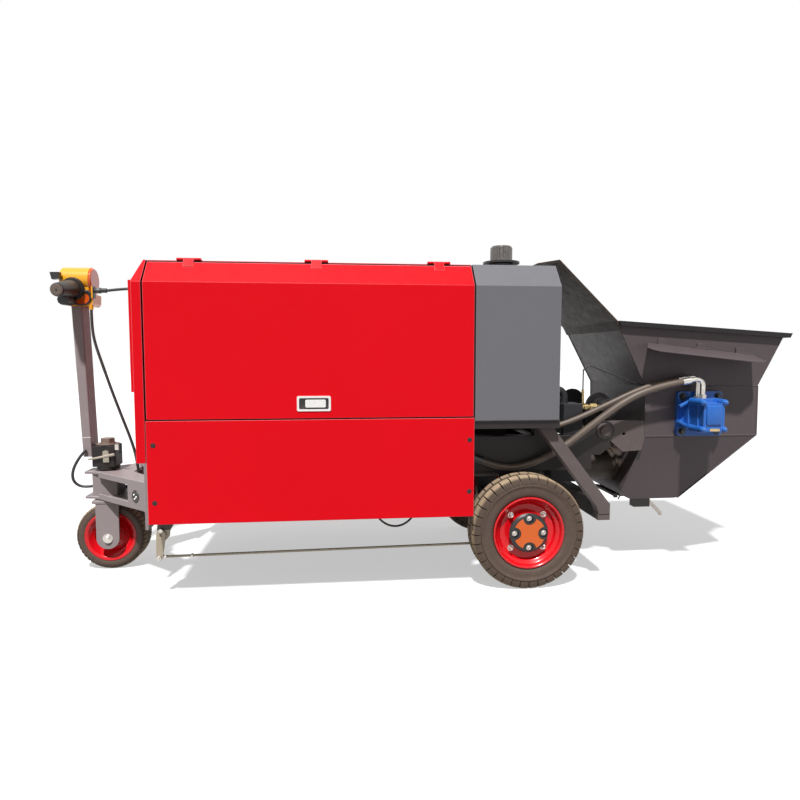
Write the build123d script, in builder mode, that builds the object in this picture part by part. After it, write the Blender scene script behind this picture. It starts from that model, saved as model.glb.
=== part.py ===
from build123d import *

import math
import os

os.makedirs("parts", exist_ok=True)

# The machine stands on its wheels at z = 0. The tiller is at -X, the hopper at +X.
# Its left side is at -Y. Every size is in millimetres.
SIDES = (("left", -1), ("right", 1))

# Engine housing
BODY_FRONT = -1100
BODY_REAR = 137
BODY_LENGTH = BODY_REAR - BODY_FRONT
BODY_MIDDLE = (BODY_FRONT + BODY_REAR) / 2
BODY_HALF = 500
BODY_BOTTOM = 318
SEAM_Z = 708
EAVES_Z = 1219
ROOF_Z = 1308
ROOF_HALF = 426
SHEET = 3
SEAM = 5
GAP = 4
SLOPE = (ROOF_Z - EAVES_Z) / (BODY_HALF - ROOF_HALF)

# Inner frame of the housing
POST_Y = 400
TUBE_X = 36
TUBE_Y = 40

# Upper doors, their hinges and their latches
DOOR_DEEP = 20
HINGE_Z = ROOF_Z + 4
HINGE_CENTRES = [BODY_FRONT + x for x in (154, 630, 1106)]
HINGE_LENGTH = 90
DOOR_KNUCKLE = 38
ROOF_KNUCKLE = 25
KNUCKLE_R = 5
PIN_R = 2.9
LATCH_X = BODY_FRONT + 618
LATCH_Z = 769
LATCH_LENGTH = 127
LATCH_HEIGHT = 58
LATCH_DEEP = 14

# Nose
NOSE_FACE = -1137
NOSE_PLATE = -1147
NOSE_BOTTOM = 551
NOSE_PLATE_LOW = 813
NOSE_PLATE_TOP = 1228
CABLE_Y = -40
NOSE_GLAND_Z = 1237

# Oil tank
TANK_FRONT = BODY_REAR + 4
TANK_REAR = 478
TANK_BOTTOM = 693
SEAT_DEEP = 30
CAP_X = 330
CAP_Y = -150

# Chassis: channel rails
RAIL_OUT = 300
RAIL_WIDE = 60
RAIL_LOW = 456
RAIL_TOP = 606
RAIL_FRONT = -1153
RAIL_REAR = 700
RAIL_WALL = 8
RAIL_MIDDLE_Z = (RAIL_LOW + RAIL_TOP) / 2
PIVOT = (755, 624)
PIVOT_R = 16

# Wheels
REAR_R = 233
REAR_WIDE = 114
REAR_X = 374
REAR_Y = 413
RIM_R = 142
SPINDLE_R = 25
FRONT_R = 149
FRONT_WIDE = 116
FRONT_X = -1401
FRONT_RIM_R = 98
AXLE_R = 15

# Steering
KING_X = -1418
KING_R = 25
UPPER_PLATE_TOP = 440
LOWER_PLATE_LOW = 320
PLATE = 10
PLATE_FOLD = 24
ARM_TAIL = -1153
CROWN_LOW = 304
CROWN_TOP = 315
FOOT_LOW = UPPER_PLATE_TOP + 6
COLUMN_X = 44
COLUMN_Y = 84
COLUMN_FOOT = (-1487, 505)
COLUMN_TOP = (-1513, 1162)
DRUM_Z = 1276
DRUM_R = 56

# Hopper: levels of height, front, rear and half width, and the sloping rim line
HOPPER_LEVELS = [(300, 868, 1149, 215), (596, 947, 1467, 290), (815, 942, 1465, 290), (1110, 792, 1607.4, 303)]
HOPPER_WALL = 6
HOPPER_SIDE = 290
TROUGH_R = 50
RIM_FRONT = (798, 1098)
RIM_REAR = (1597, 1047)
RIM_SLOPE = (RIM_REAR[1] - RIM_FRONT[1]) / (RIM_REAR[0] - RIM_FRONT[0])
LIP = 20
AGITATOR_X = 1170
AGITATOR_Z = 696
SHAFT_R = 22
VALVE_Z = 541
PORT_Y = 80
PORT_Z = 440
PIPE_OUT_R = 70
PIPE_IN_R = 60
PORT_PLATE = 942
OUTLET_START = 1278
OUTLET_END = 1525
COLLAR = 30
COLLAR_R = 76
DOOR_HINGE = (908, 290)
GRATE_HINGE = (900, 993)


def save(node, name):
    """Names a finished piece and writes it."""
    node.part.label = name
    export_step(node.part, f"parts/{name}.step")


def save_solids(pieces, name):
    """Writes a bolted assembly of solids that touch as one piece."""
    solids = [solid for piece in pieces for solid in piece.part.solids()]
    export_step(Compound(solids, label=name), f"parts/{name}.step")
    print(name, "solids", len(solids))


def cord_radii(route):
    """One bend radius for each corner of a route, as large as its two runs allow."""
    radii = []
    for before, corner, after in zip(route, route[1:], route[2:]):
        first = Vector(*corner) - Vector(*before)
        second = Vector(*after) - Vector(*corner)
        half_turn = math.radians(first.get_angle(second)) / 2
        radii.append(0.45 * min(first.length, second.length) / math.tan(half_turn))
    return radii


def hose(route, diameter, name, radii=None):
    """A hose, cable or pipe of round section along a route of runs and tangent arcs."""
    bends = radii or cord_radii(route)
    with BuildPart() as node:
        with BuildLine() as path:
            FilletPolyline(*route, radius=bends)
        wire = path.wires()[0]
        with BuildSketch(Plane(origin=wire @ 0, z_dir=wire % 0)):
            Circle(diameter / 2)
        sweep()
    expected = math.pi * diameter**2 / 4 * wire.length
    print(name, "radii", [round(r) for r in bends], "length", round(wire.length),
          "volume ratio", round(node.part.volume / expected, 4))
    save(node, name)


def body_section(half, low, inset):
    """The housing's cross section in Y and Z, its two upper corners cut."""
    h = half - inset
    top = ROOF_Z - inset
    cut = ROOF_HALF - inset * 0.45
    eaves = EAVES_Z - inset * 0.45
    return [(-h, low), (-h, eaves), (-cut, top), (cut, top), (h, eaves), (h, low)]


# Chassis: two channel rails with their cross members and the lugs that carry the hopper's pivot pins
with BuildPart() as rails:
    with BuildSketch(Plane.YZ.offset(RAIL_FRONT)):
        with Locations(*[(s * (RAIL_OUT - RAIL_WIDE / 2), RAIL_MIDDLE_Z) for _, s in SIDES]):
            Rectangle(RAIL_WIDE, RAIL_TOP - RAIL_LOW)
        with Locations(*[(s * (RAIL_OUT - RAIL_WIDE / 2 - RAIL_WALL), RAIL_MIDDLE_Z) for _, s in SIDES]):
            Rectangle(RAIL_WIDE, RAIL_TOP - RAIL_LOW - 2 * RAIL_WALL, mode=Mode.SUBTRACT)
    extrude(amount=RAIL_REAR - RAIL_FRONT)
    for x in (-1040, -480, 80, 525):
        with Locations((x, 0, 540)):
            Box(50, 2 * RAIL_OUT - RAIL_WALL, 60)
    for _, s in SIDES:
        with BuildSketch(Plane.XZ.offset(-s * (RAIL_OUT - RAIL_WALL))):
            Polygon((650, 520), (650, 600), (706, 662), PIVOT, (790, 560), (740, 520), align=None)
            with Locations(PIVOT):
                Circle(46)
                Circle(PIVOT_R + 0.05, mode=Mode.SUBTRACT)
        extrude(amount=-s * RAIL_WALL)

# The tank's seat on the rails: an angle ring, two cross bars and four posts
with BuildPart() as seat:
    with BuildSketch(Plane.XY.offset(TANK_BOTTOM - SEAT_DEEP)):
        with Locations((312, 0)):
            Rectangle(346, 980)
            Rectangle(266, 900, mode=Mode.SUBTRACT)
        with Locations((162, 0), (465, 0)):
            Rectangle(40, 600)
    extrude(amount=SEAT_DEEP)
    POST_MIDDLE_Z = (RAIL_TOP + TANK_BOTTOM - SEAT_DEEP) / 2
    with Locations(*[(x, s * 275, POST_MIDDLE_Z) for x in (162, 465) for _, s in SIDES]):
        Box(40, 50, TANK_BOTTOM - SEAT_DEEP - RAIL_TOP)

# Raking legs of flat bar from the seat down to the cross tube's ends
with BuildPart() as legs:
    for _, s in SIDES:
        with BuildSketch(Plane.XZ.offset(-s * 405)):
            Polygon((409, TANK_BOTTOM - SEAT_DEEP), (470, TANK_BOTTOM - SEAT_DEEP), (718, 340), (718, 300),
                    (672, 300), (660, 334), align=None)
        extrude(amount=-s * 50)
    with Locations((694, 0, 309)):
        Box(51, 2 * 452, 70)

save_solids((rails, seat, legs), "chassis_frame")


# Front frame: two A-shaped plates with folded edges around the kingpin's housing
def arm_strip(s, start, end, thick):
    """Four plan points of a strip along an arm's outer edge, from one share of it to another."""
    tip = Vector(-1445, s * 62)
    tail = Vector(ARM_TAIL, s * 325)
    along = (tail - tip).normalized()
    inward = Vector(along.Y, -along.X) * s
    a = tip + (tail - tip) * start
    b = tip + (tail - tip) * end
    return [(p.X, p.Y) for p in (a, b, b + inward * thick, a + inward * thick)]


def a_plate():
    """Plan of one A-plate: tip, two spreading arms and the notch between them."""
    return [(-1505, -45), (-1445, -62), (ARM_TAIL, -325), (ARM_TAIL, -225), (-1290, -62),
            (-1290, 62), (ARM_TAIL, 225), (ARM_TAIL, 325), (-1445, 62), (-1505, 45)]


GROMMET_SHARE = 0.77
GROMMET_Z = 374
GROMMET_R = 22
with BuildPart() as front_frame:
    for low in (UPPER_PLATE_TOP - PLATE, LOWER_PLATE_LOW):
        with BuildSketch(Plane.XY.offset(low)):
            Polygon(*a_plate(), align=None)
        extrude(amount=PLATE)
    for _, s in SIDES:
        for low in (UPPER_PLATE_TOP - PLATE_FOLD, LOWER_PLATE_LOW):
            with BuildSketch(Plane.XY.offset(low)):
                Polygon(*arm_strip(s, 0.02, 1, 6), align=None)
            extrude(amount=PLATE_FOLD)
        # The web beside the housing, with its round hole
        with BuildSketch(Plane.XY.offset(LOWER_PLATE_LOW + PLATE - 1)):
            Polygon(*arm_strip(s, 0.62, 1, 6), align=None)
        extrude(amount=UPPER_PLATE_TOP - LOWER_PLATE_LOW - 2 * PLATE + 2)
        corners = arm_strip(s, GROMMET_SHARE, 1, 0)
        outward = Vector(corners[1][1] - corners[0][1], corners[0][0] - corners[1][0]) * -s
        with BuildSketch(Plane(origin=(*corners[0], GROMMET_Z), x_dir=(0, 0, 1), z_dir=outward)):
            Circle(GROMMET_R)
        extrude(amount=12, both=True, mode=Mode.SUBTRACT)
        with Locations((ARM_TAIL - 6, s * 275, 405)):
            Box(12, 104, 310)
    with BuildSketch(Plane.XY.offset(LOWER_PLATE_LOW)):
        with Locations((KING_X, 0)):
            Rectangle(104, 104)
    extrude(amount=UPPER_PLATE_TOP - LOWER_PLATE_LOW)
    # A tie plate at the notch and the harness plug on it
    with Locations((-1290, 0, (LOWER_PLATE_LOW + UPPER_PLATE_TOP) / 2)):
        Box(10, 116, UPPER_PLATE_TOP - LOWER_PLATE_LOW - PLATE)
    with Locations((-1272, CABLE_Y, 385)):
        Box(30, 30, 40)
    with Locations((KING_X, 0, UPPER_PLATE_TOP)):
        Hole(KING_R + 0.05)
save(front_frame, "front_frame")


# Housing: an open tube frame
with BuildPart() as body_frame:
    FRONT_POST = BODY_FRONT + 7 + TUBE_X / 2
    REAR_POST = BODY_REAR - SHEET - TUBE_X / 2
    POST_LOW = BODY_BOTTOM + SHEET
    POST_TOP = ROOF_Z - SHEET
    for x in (FRONT_POST, REAR_POST):
        with Locations(*[(x, s * POST_Y, (POST_LOW + POST_TOP) / 2) for _, s in SIDES]):
            Box(TUBE_X, TUBE_Y, POST_TOP - POST_LOW)
        with Locations((x, 0, POST_TOP - TUBE_X / 2)):
            Box(TUBE_X, 2 * POST_Y, TUBE_X)
    for _, s in SIDES:
        with Locations(*[(BODY_MIDDLE, s * POST_Y, z) for z in (POST_TOP - TUBE_X / 2, SEAM_Z - 20)]):
            Box(BODY_LENGTH - 30, TUBE_Y, TUBE_X)
        # Stays out to the lower panels and forward to the nose
        stay = BODY_HALF - SHEET - POST_Y
        with Locations(*[(x, s * (POST_Y + stay / 2), SEAM_Z - 20) for x in (-1040, -480, 80)]):
            Box(30, stay, 30)
        reach = FRONT_POST - NOSE_FACE - SHEET
        with Locations(*[(NOSE_FACE + SHEET + reach / 2, s * POST_Y, z) for z in (620, 1208)]):
            Box(reach, 30, 24)
save(body_frame, "body_frame")

# The tray under the engine and the wall behind it, with its openings for the rails and hoses
with BuildPart() as engine_tray:
    with BuildSketch(Plane.XY.offset(BODY_BOTTOM)):
        with Locations((BODY_MIDDLE + GAP / 2, 0)):
            Rectangle(BODY_LENGTH - GAP, 2 * (BODY_HALF - SHEET))
    extrude(amount=SHEET)
    with BuildSketch(Plane.YZ.offset(BODY_REAR - SHEET)):
        with BuildLine():
            Polyline(*body_section(BODY_HALF - 26, BODY_BOTTOM, 4), close=True)
        make_face()
        with Locations(*[(s * (RAIL_OUT - RAIL_WIDE / 2), RAIL_MIDDLE_Z) for _, s in SIDES]):
            Rectangle(RAIL_WIDE + 2, RAIL_TOP - RAIL_LOW + 2, mode=Mode.SUBTRACT)
        with Locations((0, 500)):
            RectangleRounded(330, 260, 20, mode=Mode.SUBTRACT)
    extrude(amount=SHEET)
save(engine_tray, "engine_tray")


def nose_block(inset, deep):
    """The nose as a solid whose face leans back at its top, drawn in by an inset."""
    with BuildPart() as block:
        with BuildSketch(Plane.YZ.offset(NOSE_FACE + inset)):
            Polygon(*body_section(BODY_HALF, NOSE_BOTTOM + inset, inset), align=None)
        extrude(amount=deep)
        with BuildSketch(Plane.XZ.offset(600)):
            Polygon((NOSE_FACE + inset, NOSE_PLATE_TOP), (NOSE_FACE - 80, 1400), (BODY_FRONT - 12 + inset, 1400),
                    (BODY_FRONT - 12 + inset, ROOF_Z), align=None)
        extrude(amount=-1200, mode=Mode.SUBTRACT)
    return block.part


with BuildPart() as nose_panel:
    add(nose_block(0, BODY_FRONT - NOSE_FACE - SHEET))
    add(nose_block(SHEET, 60), mode=Mode.SUBTRACT)
    # The air intake, the notches for the rails and the gland of the tiller's cable
    with BuildSketch(Plane.YZ.offset(NOSE_FACE - 1)):
        with Locations((0, (NOSE_PLATE_LOW + NOSE_PLATE_TOP) / 2)):
            Rectangle(760, 330)
    extrude(amount=10, mode=Mode.SUBTRACT)
    with Locations(*[(NOSE_FACE + 17, s * (RAIL_OUT - RAIL_WIDE / 2), NOSE_BOTTOM) for _, s in SIDES]):
        Box(60, RAIL_WIDE + 8, 120, mode=Mode.SUBTRACT)
    with BuildSketch(Plane.YZ.offset(NOSE_PLATE - 3)):
        with Locations((CABLE_Y, NOSE_GLAND_Z)):
            Circle(11)
    extrude(amount=20)
save(nose_panel, "nose_panel")

# The intake's cover: a folded plate with three columns of pressed louvres
LOUVRE_ROWS = 9
LOUVRE_PITCH = 34
with BuildPart() as nose_louvre:
    with BuildSketch(Plane.YZ.offset(NOSE_PLATE)):
        with Locations((0, (NOSE_PLATE_LOW + NOSE_PLATE_TOP) / 2)):
            Rectangle(2 * BODY_HALF - 4, NOSE_PLATE_TOP - NOSE_PLATE_LOW - 6)
            with GridLocations(240, LOUVRE_PITCH, 3, LOUVRE_ROWS):
                Rectangle(200, 12, mode=Mode.SUBTRACT)
    extrude(amount=NOSE_FACE - NOSE_PLATE)
    # Each louvre's blade leans over its slot
    for row in range(LOUVRE_ROWS):
        z = (NOSE_PLATE_LOW + NOSE_PLATE_TOP) / 2 + (row - (LOUVRE_ROWS - 1) / 2) * LOUVRE_PITCH
        with BuildSketch(Plane.XZ.offset(345)):
            Polygon((NOSE_PLATE + 1, z + 4), (NOSE_PLATE + 1, z + 8), (NOSE_FACE - 1, z), (NOSE_FACE - 1, z - 4),
                    align=None)
        extrude(amount=-690)
save(nose_louvre, "nose_louvre")

# Roof, with the fixed knuckles and the pins of the six door hinges
with BuildPart() as roof_panel:
    with BuildSketch(Plane.XY.offset(ROOF_Z - SHEET)):
        with Locations((BODY_MIDDLE, 0)):
            Rectangle(BODY_LENGTH - 2, 2 * (ROOF_HALF - 7))
    extrude(amount=SHEET)
    for x in HINGE_CENTRES:
        for _, s in SIDES:
            for start in (x - HINGE_LENGTH / 2, x + HINGE_LENGTH / 2 - ROOF_KNUCKLE):
                with BuildSketch(Plane.YZ.offset(start)):
                    with Locations((s * ROOF_HALF, HINGE_Z)):
                        Circle(KNUCKLE_R)
                    with Locations((s * (ROOF_HALF - 12), ROOF_Z + 2)):
                        Rectangle(24, 5)
                extrude(amount=ROOF_KNUCKLE)
            with BuildSketch(Plane.YZ.offset(x - HINGE_LENGTH / 2)):
                with Locations((s * ROOF_HALF, HINGE_Z)):
                    Circle(PIN_R)
            extrude(amount=HINGE_LENGTH)
save(roof_panel, "roof_panel")


def door_points(s, skin):
    """The upper door's section, upright panel and slope, drawn in by a skin's thickness."""
    across = math.hypot(1, SLOPE)
    lean = skin * across
    deep = DOOR_DEEP * across
    edge = ROOF_HALF + 7
    top = ROOF_Z - 7 * SLOPE
    inner = BODY_HALF - DOOR_DEEP
    outer = BODY_HALF - skin
    low = SEAM_Z + SEAM + skin
    near = edge + skin
    back = inner - (1 if skin else 0)
    over = deep + (1 if skin else 0)
    return [(s * y, z) for y, z in (
        (outer, low), (outer, top - lean - (outer - edge) * SLOPE), (near, top - lean - (near - edge) * SLOPE),
        (near, top - over - (near - edge) * SLOPE), (back, top - over - (back - edge) * SLOPE), (back, low),
    )]


for side, s in SIDES:
    # A door pressed from sheet, its edges turned in, with a leaf at each hinge
    with BuildPart() as door:
        with BuildSketch(Plane.YZ.offset(BODY_FRONT + GAP)):
            Polygon(*door_points(s, 0), align=None)
        extrude(amount=BODY_LENGTH - 2 * GAP)
        with BuildSketch(Plane.YZ.offset(BODY_FRONT + GAP + SHEET)):
            Polygon(*door_points(s, SHEET), align=None)
        extrude(amount=BODY_LENGTH - 2 * GAP - 2 * SHEET, mode=Mode.SUBTRACT)
        with BuildSketch(Plane.XZ.offset(-s * (BODY_HALF - 10))):
            with Locations((LATCH_X, LATCH_Z)):
                Rectangle(LATCH_LENGTH - 8, LATCH_HEIGHT - 8)
        extrude(amount=-s * 20, mode=Mode.SUBTRACT)
        for x in HINGE_CENTRES:
            with BuildSketch(Plane.YZ.offset(x - DOOR_KNUCKLE / 2)):
                with Locations((s * ROOF_HALF, HINGE_Z)):
                    Circle(KNUCKLE_R)
                with BuildLine():
                    Polyline((s * (ROOF_HALF + 1), HINGE_Z + 4.8), (s * (ROOF_HALF + 4.5), HINGE_Z + 1),
                             (s * (ROOF_HALF + 24), ROOF_Z - 24 * SLOPE + 4),
                             (s * (ROOF_HALF + 22), ROOF_Z - 22 * SLOPE - 2),
                             (s * (ROOF_HALF + 3), HINGE_Z - 4), close=True)
                make_face()
                with Locations((s * ROOF_HALF, HINGE_Z)):
                    Circle(PIN_R + 0.06, mode=Mode.SUBTRACT)
            extrude(amount=DOOR_KNUCKLE)
    save(door, f"{side}_door")

    # A recessed paddle latch: a dish in the door's skin, a frame around it and the paddle
    with BuildPart() as latch:
        with BuildSketch(Plane.XZ.offset(-s * (BODY_HALF - LATCH_DEEP))):
            with Locations((LATCH_X, LATCH_Z)):
                Rectangle(LATCH_LENGTH - 8, LATCH_HEIGHT - 8)
        extrude(amount=-s * LATCH_DEEP)
        with BuildSketch(Plane.XZ.offset(-s * BODY_HALF)):
            with Locations((LATCH_X, LATCH_Z)):
                RectangleRounded(LATCH_LENGTH, LATCH_HEIGHT, 6)
        extrude(amount=-s * 3)
        with BuildSketch(Plane.XZ.offset(-s * (BODY_HALF - LATCH_DEEP + 2))):
            with Locations((LATCH_X, LATCH_Z)):
                RectangleRounded(LATCH_LENGTH - 16, LATCH_HEIGHT - 16, 5)
        extrude(amount=-s * 20, mode=Mode.SUBTRACT)
        with BuildSketch(Plane.XZ.offset(-s * (BODY_HALF - LATCH_DEEP + 1))):
            with Locations((LATCH_X + 6, LATCH_Z)):
                RectangleRounded(LATCH_LENGTH - 50, LATCH_HEIGHT - 28, 5)
        extrude(amount=-s * (LATCH_DEEP - 2))
    save(latch, f"{side}_latch")

    with BuildPart() as lower:
        with BuildSketch(Plane.XZ.offset(-s * (BODY_HALF - SHEET))):
            with Locations((BODY_MIDDLE, (BODY_BOTTOM + SEAM_Z) / 2)):
                Rectangle(BODY_LENGTH, SEAM_Z - BODY_BOTTOM)
        extrude(amount=-s * SHEET)
    save(lower, f"{side}_lower_panel")

# Engine: one plain block on the rails
ENGINE_HIGH = 450
with BuildPart() as engine_block:
    with Locations((-560, 0, RAIL_TOP + ENGINE_HIGH / 2)):
        Box(620, 500, ENGINE_HIGH)
    fillet(engine_block.edges().filter_by(Axis.Z), 30)
save(engine_block, "engine_block")

# Oil tank: the housing's section carried on, its long edges rolled
with BuildPart() as oil_tank:
    with BuildSketch(Plane.YZ.offset(TANK_FRONT)):
        Polygon(*body_section(BODY_HALF, TANK_BOTTOM, 0), align=None)
        fillet(vertices(), 6)
    extrude(amount=TANK_REAR - TANK_FRONT)
save(oil_tank, "oil_tank")

# Filler: neck, dished flange and a fluted breather cap
FLUTES = 12
with BuildPart() as filler_cap:
    with BuildSketch(Plane.XZ):
        Polygon((0, 0), (52, 0), (52, 40), (80, 44), (80, 52), (48, 56), (48, 112), (42, 120), (0, 120), align=None)
    revolve(axis=Axis.Z)
    with BuildSketch(Plane.XY.offset(64)):
        with PolarLocations(50, FLUTES):
            Circle(6)
    extrude(amount=60, mode=Mode.SUBTRACT)
filler_cap.part = filler_cap.part.moved(Location((CAP_X, CAP_Y, ROOF_Z)))
save(filler_cap, "filler_cap")


# Wheels: each a tyre, a dished rim and, at the back, a hub cap
def tyre_section(radius, rim_r, wide):
    """Outline of a tyre: beads, bulging sidewalls with a ridge, shoulders and a flat tread."""
    w = wide / 2
    middle = (radius + rim_r) / 2
    half = [(rim_r + 1, w - 14), (rim_r + 8, w - 5), (middle - 8, w), (middle + 8, w), (radius - 30, w - 5),
            (radius - 24, w - 2), (radius - 6, w - 12), (radius, w - 26)]
    return [(r, -y) for r, y in half] + list(reversed(half))


def rim_section(rim_r, wide, web_y, hub_r, hub_out, bore_r):
    """Outline of a pressed rim: flanges, a stepped barrel, a dished web and a hub."""
    w = wide / 2
    deep = rim_r - 24
    return [
        (bore_r, -hub_out), (hub_r, -hub_out), (hub_r, web_y - 4), (deep - 14, web_y - 4), (deep, web_y - 14),
        (deep, -w + 24), (rim_r - 8, -w + 16), (rim_r - 6, -w + 5), (rim_r, -w + 5),
        (rim_r, w - 5), (rim_r - 6, w - 5), (rim_r - 8, w - 16), (deep, w - 24),
        (deep, web_y + 14), (deep - 14, web_y + 4), (hub_r, web_y + 4), (hub_r, hub_out), (bore_r, hub_out),
    ]


def spun(points, place, name):
    """A round piece turned from its outline about the axle."""
    with BuildPart() as piece:
        with BuildSketch(Plane.XY):
            Polygon(*points, align=None)
        revolve(axis=Axis.Y)
    piece.part = piece.part.moved(place)
    save(piece, name)


FRONT_PLACE = Location((FRONT_X, 0, FRONT_R))
spun(tyre_section(FRONT_R, FRONT_RIM_R, FRONT_WIDE), FRONT_PLACE, "front_tyre")
spun(rim_section(FRONT_RIM_R, FRONT_WIDE, 0, 36, 52, AXLE_R + 0.06), FRONT_PLACE, "front_rim")
for side, s in SIDES:
    place = Location((REAR_X, s * REAR_Y, REAR_R))
    spun(tyre_section(REAR_R, RIM_R, REAR_WIDE), place, f"{side}_rear_tyre")
    outline = rim_section(RIM_R, REAR_WIDE, -16, 60, 44, SPINDLE_R + 0.06)
    spun([(r, -s * y) for r, y in outline], place, f"{side}_rear_rim")
    spun([(0, s * 45), (80, s * 45), (80, s * 50), (72, s * 54), (0, s * 56)], place, f"{side}_hub_cap")

# Rear axle: a square beam, its spindles and a hanger under each rail
with BuildPart() as rear_axle:
    with Locations((REAR_X, 0, REAR_R)):
        Box(60, 620, 60)
    with BuildSketch(Plane.XZ.offset(-REAR_Y - 44)):
        with Locations((REAR_X, REAR_R)):
            Circle(SPINDLE_R)
    extrude(amount=2 * REAR_Y + 88)
    for _, s in SIDES:
        with BuildSketch(Plane.XZ.offset(-s * 265)):
            Polygon((REAR_X - 80, RAIL_LOW), (REAR_X + 80, RAIL_LOW), (REAR_X + 34, REAR_R - 34),
                    (REAR_X - 34, REAR_R - 34), align=None)
            with Locations((REAR_X, 360)):
                Circle(28, mode=Mode.SUBTRACT)
        extrude(amount=8, both=True)
        with Locations((REAR_X, s * 265, RAIL_LOW - 5)):
            Box(190, 56, 10)
save(rear_axle, "rear_axle")

# Brake linkage, one small fixed control: a bracket, a bell crank and a rod on each side
ROD_Z = 159
with BuildPart() as brake_linkage:
    for _, s in SIDES:
        with BuildSketch(Plane.XZ.offset(-s * 380)):
            Polygon((-1096, 318), (-1022, 318), (-1054, 262), (-1056, 240), (-1070, 226), (-1104, 246), align=None)
        extrude(amount=-s * 14)
        with BuildSketch(Plane.XZ.offset(-s * 394)):
            with BuildLine():
                Polyline((-1103, 249), (-1105, 158), (-1081, 158), (-1067, 249), close=True)
            make_face()
            with Locations((-1085, 250)):
                Circle(18)
            with Locations((-1093, ROD_Z)):
                Circle(12)
            with Locations((-1085, 252)):
                SlotOverall(22, 10, rotation=90, mode=Mode.SUBTRACT)
        extrude(amount=-s * 8)
        with BuildSketch(Plane.XZ.offset(-s * 380)):
            with Locations((-1093, ROD_Z)):
                Circle(8)
        extrude(amount=-s * 28)
        # The rod runs back and inward to a lever on the spindle, past the tyre's inner side
        front = Vector(-1090, s * 388, ROD_Z)
        rear = Vector(334, s * 336, ROD_Z)
        with BuildSketch(Plane(origin=front, z_dir=rear - front)):
            Circle(5)
        extrude(amount=(rear - front).length)
        with BuildSketch(Plane.XZ.offset(-s * 330)):
            Polygon((320, 146), (344, 146), (392, 204), (346, 250), align=None)
            with Locations((REAR_X, REAR_R)):
                Circle(40)
                Circle(SPINDLE_R + 0.05, mode=Mode.SUBTRACT)
        extrude(amount=-s * 12)
save(brake_linkage, "brake_linkage")

# Steering: the fork over the front wheel, with the kingpin
with BuildPart() as front_fork:
    with BuildSketch(Plane.XY.offset(CROWN_LOW)):
        with Locations(((KING_X + FRONT_X) / 2, 0)):
            RectangleRounded(112, 176, 10)
    extrude(amount=CROWN_TOP - CROWN_LOW)
    for _, s in SIDES:
        with BuildSketch(Plane.XZ.offset(-s * 76)):
            with Locations((FRONT_X, (FRONT_R + CROWN_TOP) / 2)):
                Rectangle(96, CROWN_TOP - FRONT_R)
            with Locations((FRONT_X, FRONT_R)):
                Circle(48)
        extrude(amount=-s * 10)
    with BuildSketch(Plane.XZ.offset(-94)):
        with Locations((FRONT_X, FRONT_R)):
            Circle(AXLE_R)
    extrude(amount=188)
    for low, high, radius in ((CROWN_TOP, LOWER_PLATE_LOW, 42), (CROWN_LOW, 562, KING_R)):
        with BuildSketch(Plane.XY.offset(low)):
            with Locations((KING_X, 0)):
                Circle(radius)
        extrude(amount=high - low)
save(front_fork, "front_fork")

# The tiller's foot: a socket clamped on the kingpin, washer and nut above it
with BuildPart() as tiller_foot:
    for low, high, radius in ((FOOT_LOW, 462, 48), (550, 558, 50)):
        with BuildSketch(Plane.XY.offset(low)):
            with Locations((KING_X, 0)):
                Circle(radius)
        extrude(amount=high - low)
    with BuildSketch(Plane.XY.offset(460)):
        with Locations((KING_X - 4, 0)):
            RectangleRounded(100, 96, 8)
    extrude(amount=92)
    with Locations((KING_X, 0, 558)):
        Hole(KING_R + 0.05)
    with BuildSketch(Plane.XY.offset(562)):
        with Locations((KING_X, 0)):
            RegularPolygon(30, 6)
    extrude(amount=20)
    with BuildSketch(Plane.XY.offset(558)):
        with Locations((KING_X, 0)):
            Circle(34)
            Circle(KING_R + 0.05, mode=Mode.SUBTRACT)
    extrude(amount=4)
save(tiller_foot, "tiller_foot")

# A spring pin that locks the tiller upright, on the foot's left side
with BuildPart() as steering_lock:
    with Locations((-1412, -51, 505)):
        Box(12, 6, 58)
    with BuildSketch(Plane.XZ.offset(54)):
        Polygon((-1470, 492), (-1468, 503), (-1414, 531), (-1362, 526), (-1362, 515), (-1414, 518), align=None)
    extrude(amount=5)
save(steering_lock, "steering_lock")

with BuildPart() as tiller_column:
    with BuildSketch(Plane.XZ.offset(-COLUMN_Y / 2)):
        Polygon((COLUMN_FOOT[0] - COLUMN_X / 2, COLUMN_FOOT[1]), (KING_X - 54, COLUMN_FOOT[1]),
                (COLUMN_TOP[0] + COLUMN_X / 2, COLUMN_TOP[1]), (COLUMN_TOP[0] - COLUMN_X / 2, COLUMN_TOP[1]),
                align=None)
    extrude(amount=COLUMN_Y)
    fillet(tiller_column.edges().filter_by(Axis.Y, reverse=True).filter_by(Axis.X, reverse=True), 5)
save(tiller_column, "tiller_column")

# The tiller's head: a drum over a rounded control box, and the cable's connectors
with BuildPart() as tiller_head:
    with BuildSketch(Plane.YZ.offset(-1577)):
        with Locations((0, DRUM_Z)):
            Circle(DRUM_R)
    extrude(amount=120)
    fillet(tiller_head.edges().group_by(Axis.X)[0], 8)
    with BuildSketch(Plane.XZ.offset(-46)):
        with BuildLine():
            Polyline((-1546, 1245), (-1548, 1172), (-1536, 1162), (-1452, 1162), (-1442, 1174), (-1440, 1212),
                     (-1458, 1222), (-1458, 1245), close=True)
        make_face()
    extrude(amount=92)
    with Locations((-1441, CABLE_Y, 1222)):
        Box(10, 26, 50)
    with BuildSketch(Plane.YZ.offset(-1437)):
        with Locations((CABLE_Y, 1230)):
            Circle(10)
    extrude(amount=52)
    with BuildSketch(Plane.YZ.offset(-1424)):
        with Locations((CABLE_Y, 1230)):
            RegularPolygon(14, 6)
    extrude(amount=14)
    with BuildSketch(Plane.XY.offset(1148)):
        with Locations((-1452, CABLE_Y)):
            Circle(9)
    extrude(amount=20)
save(tiller_head, "tiller_head")

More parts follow.
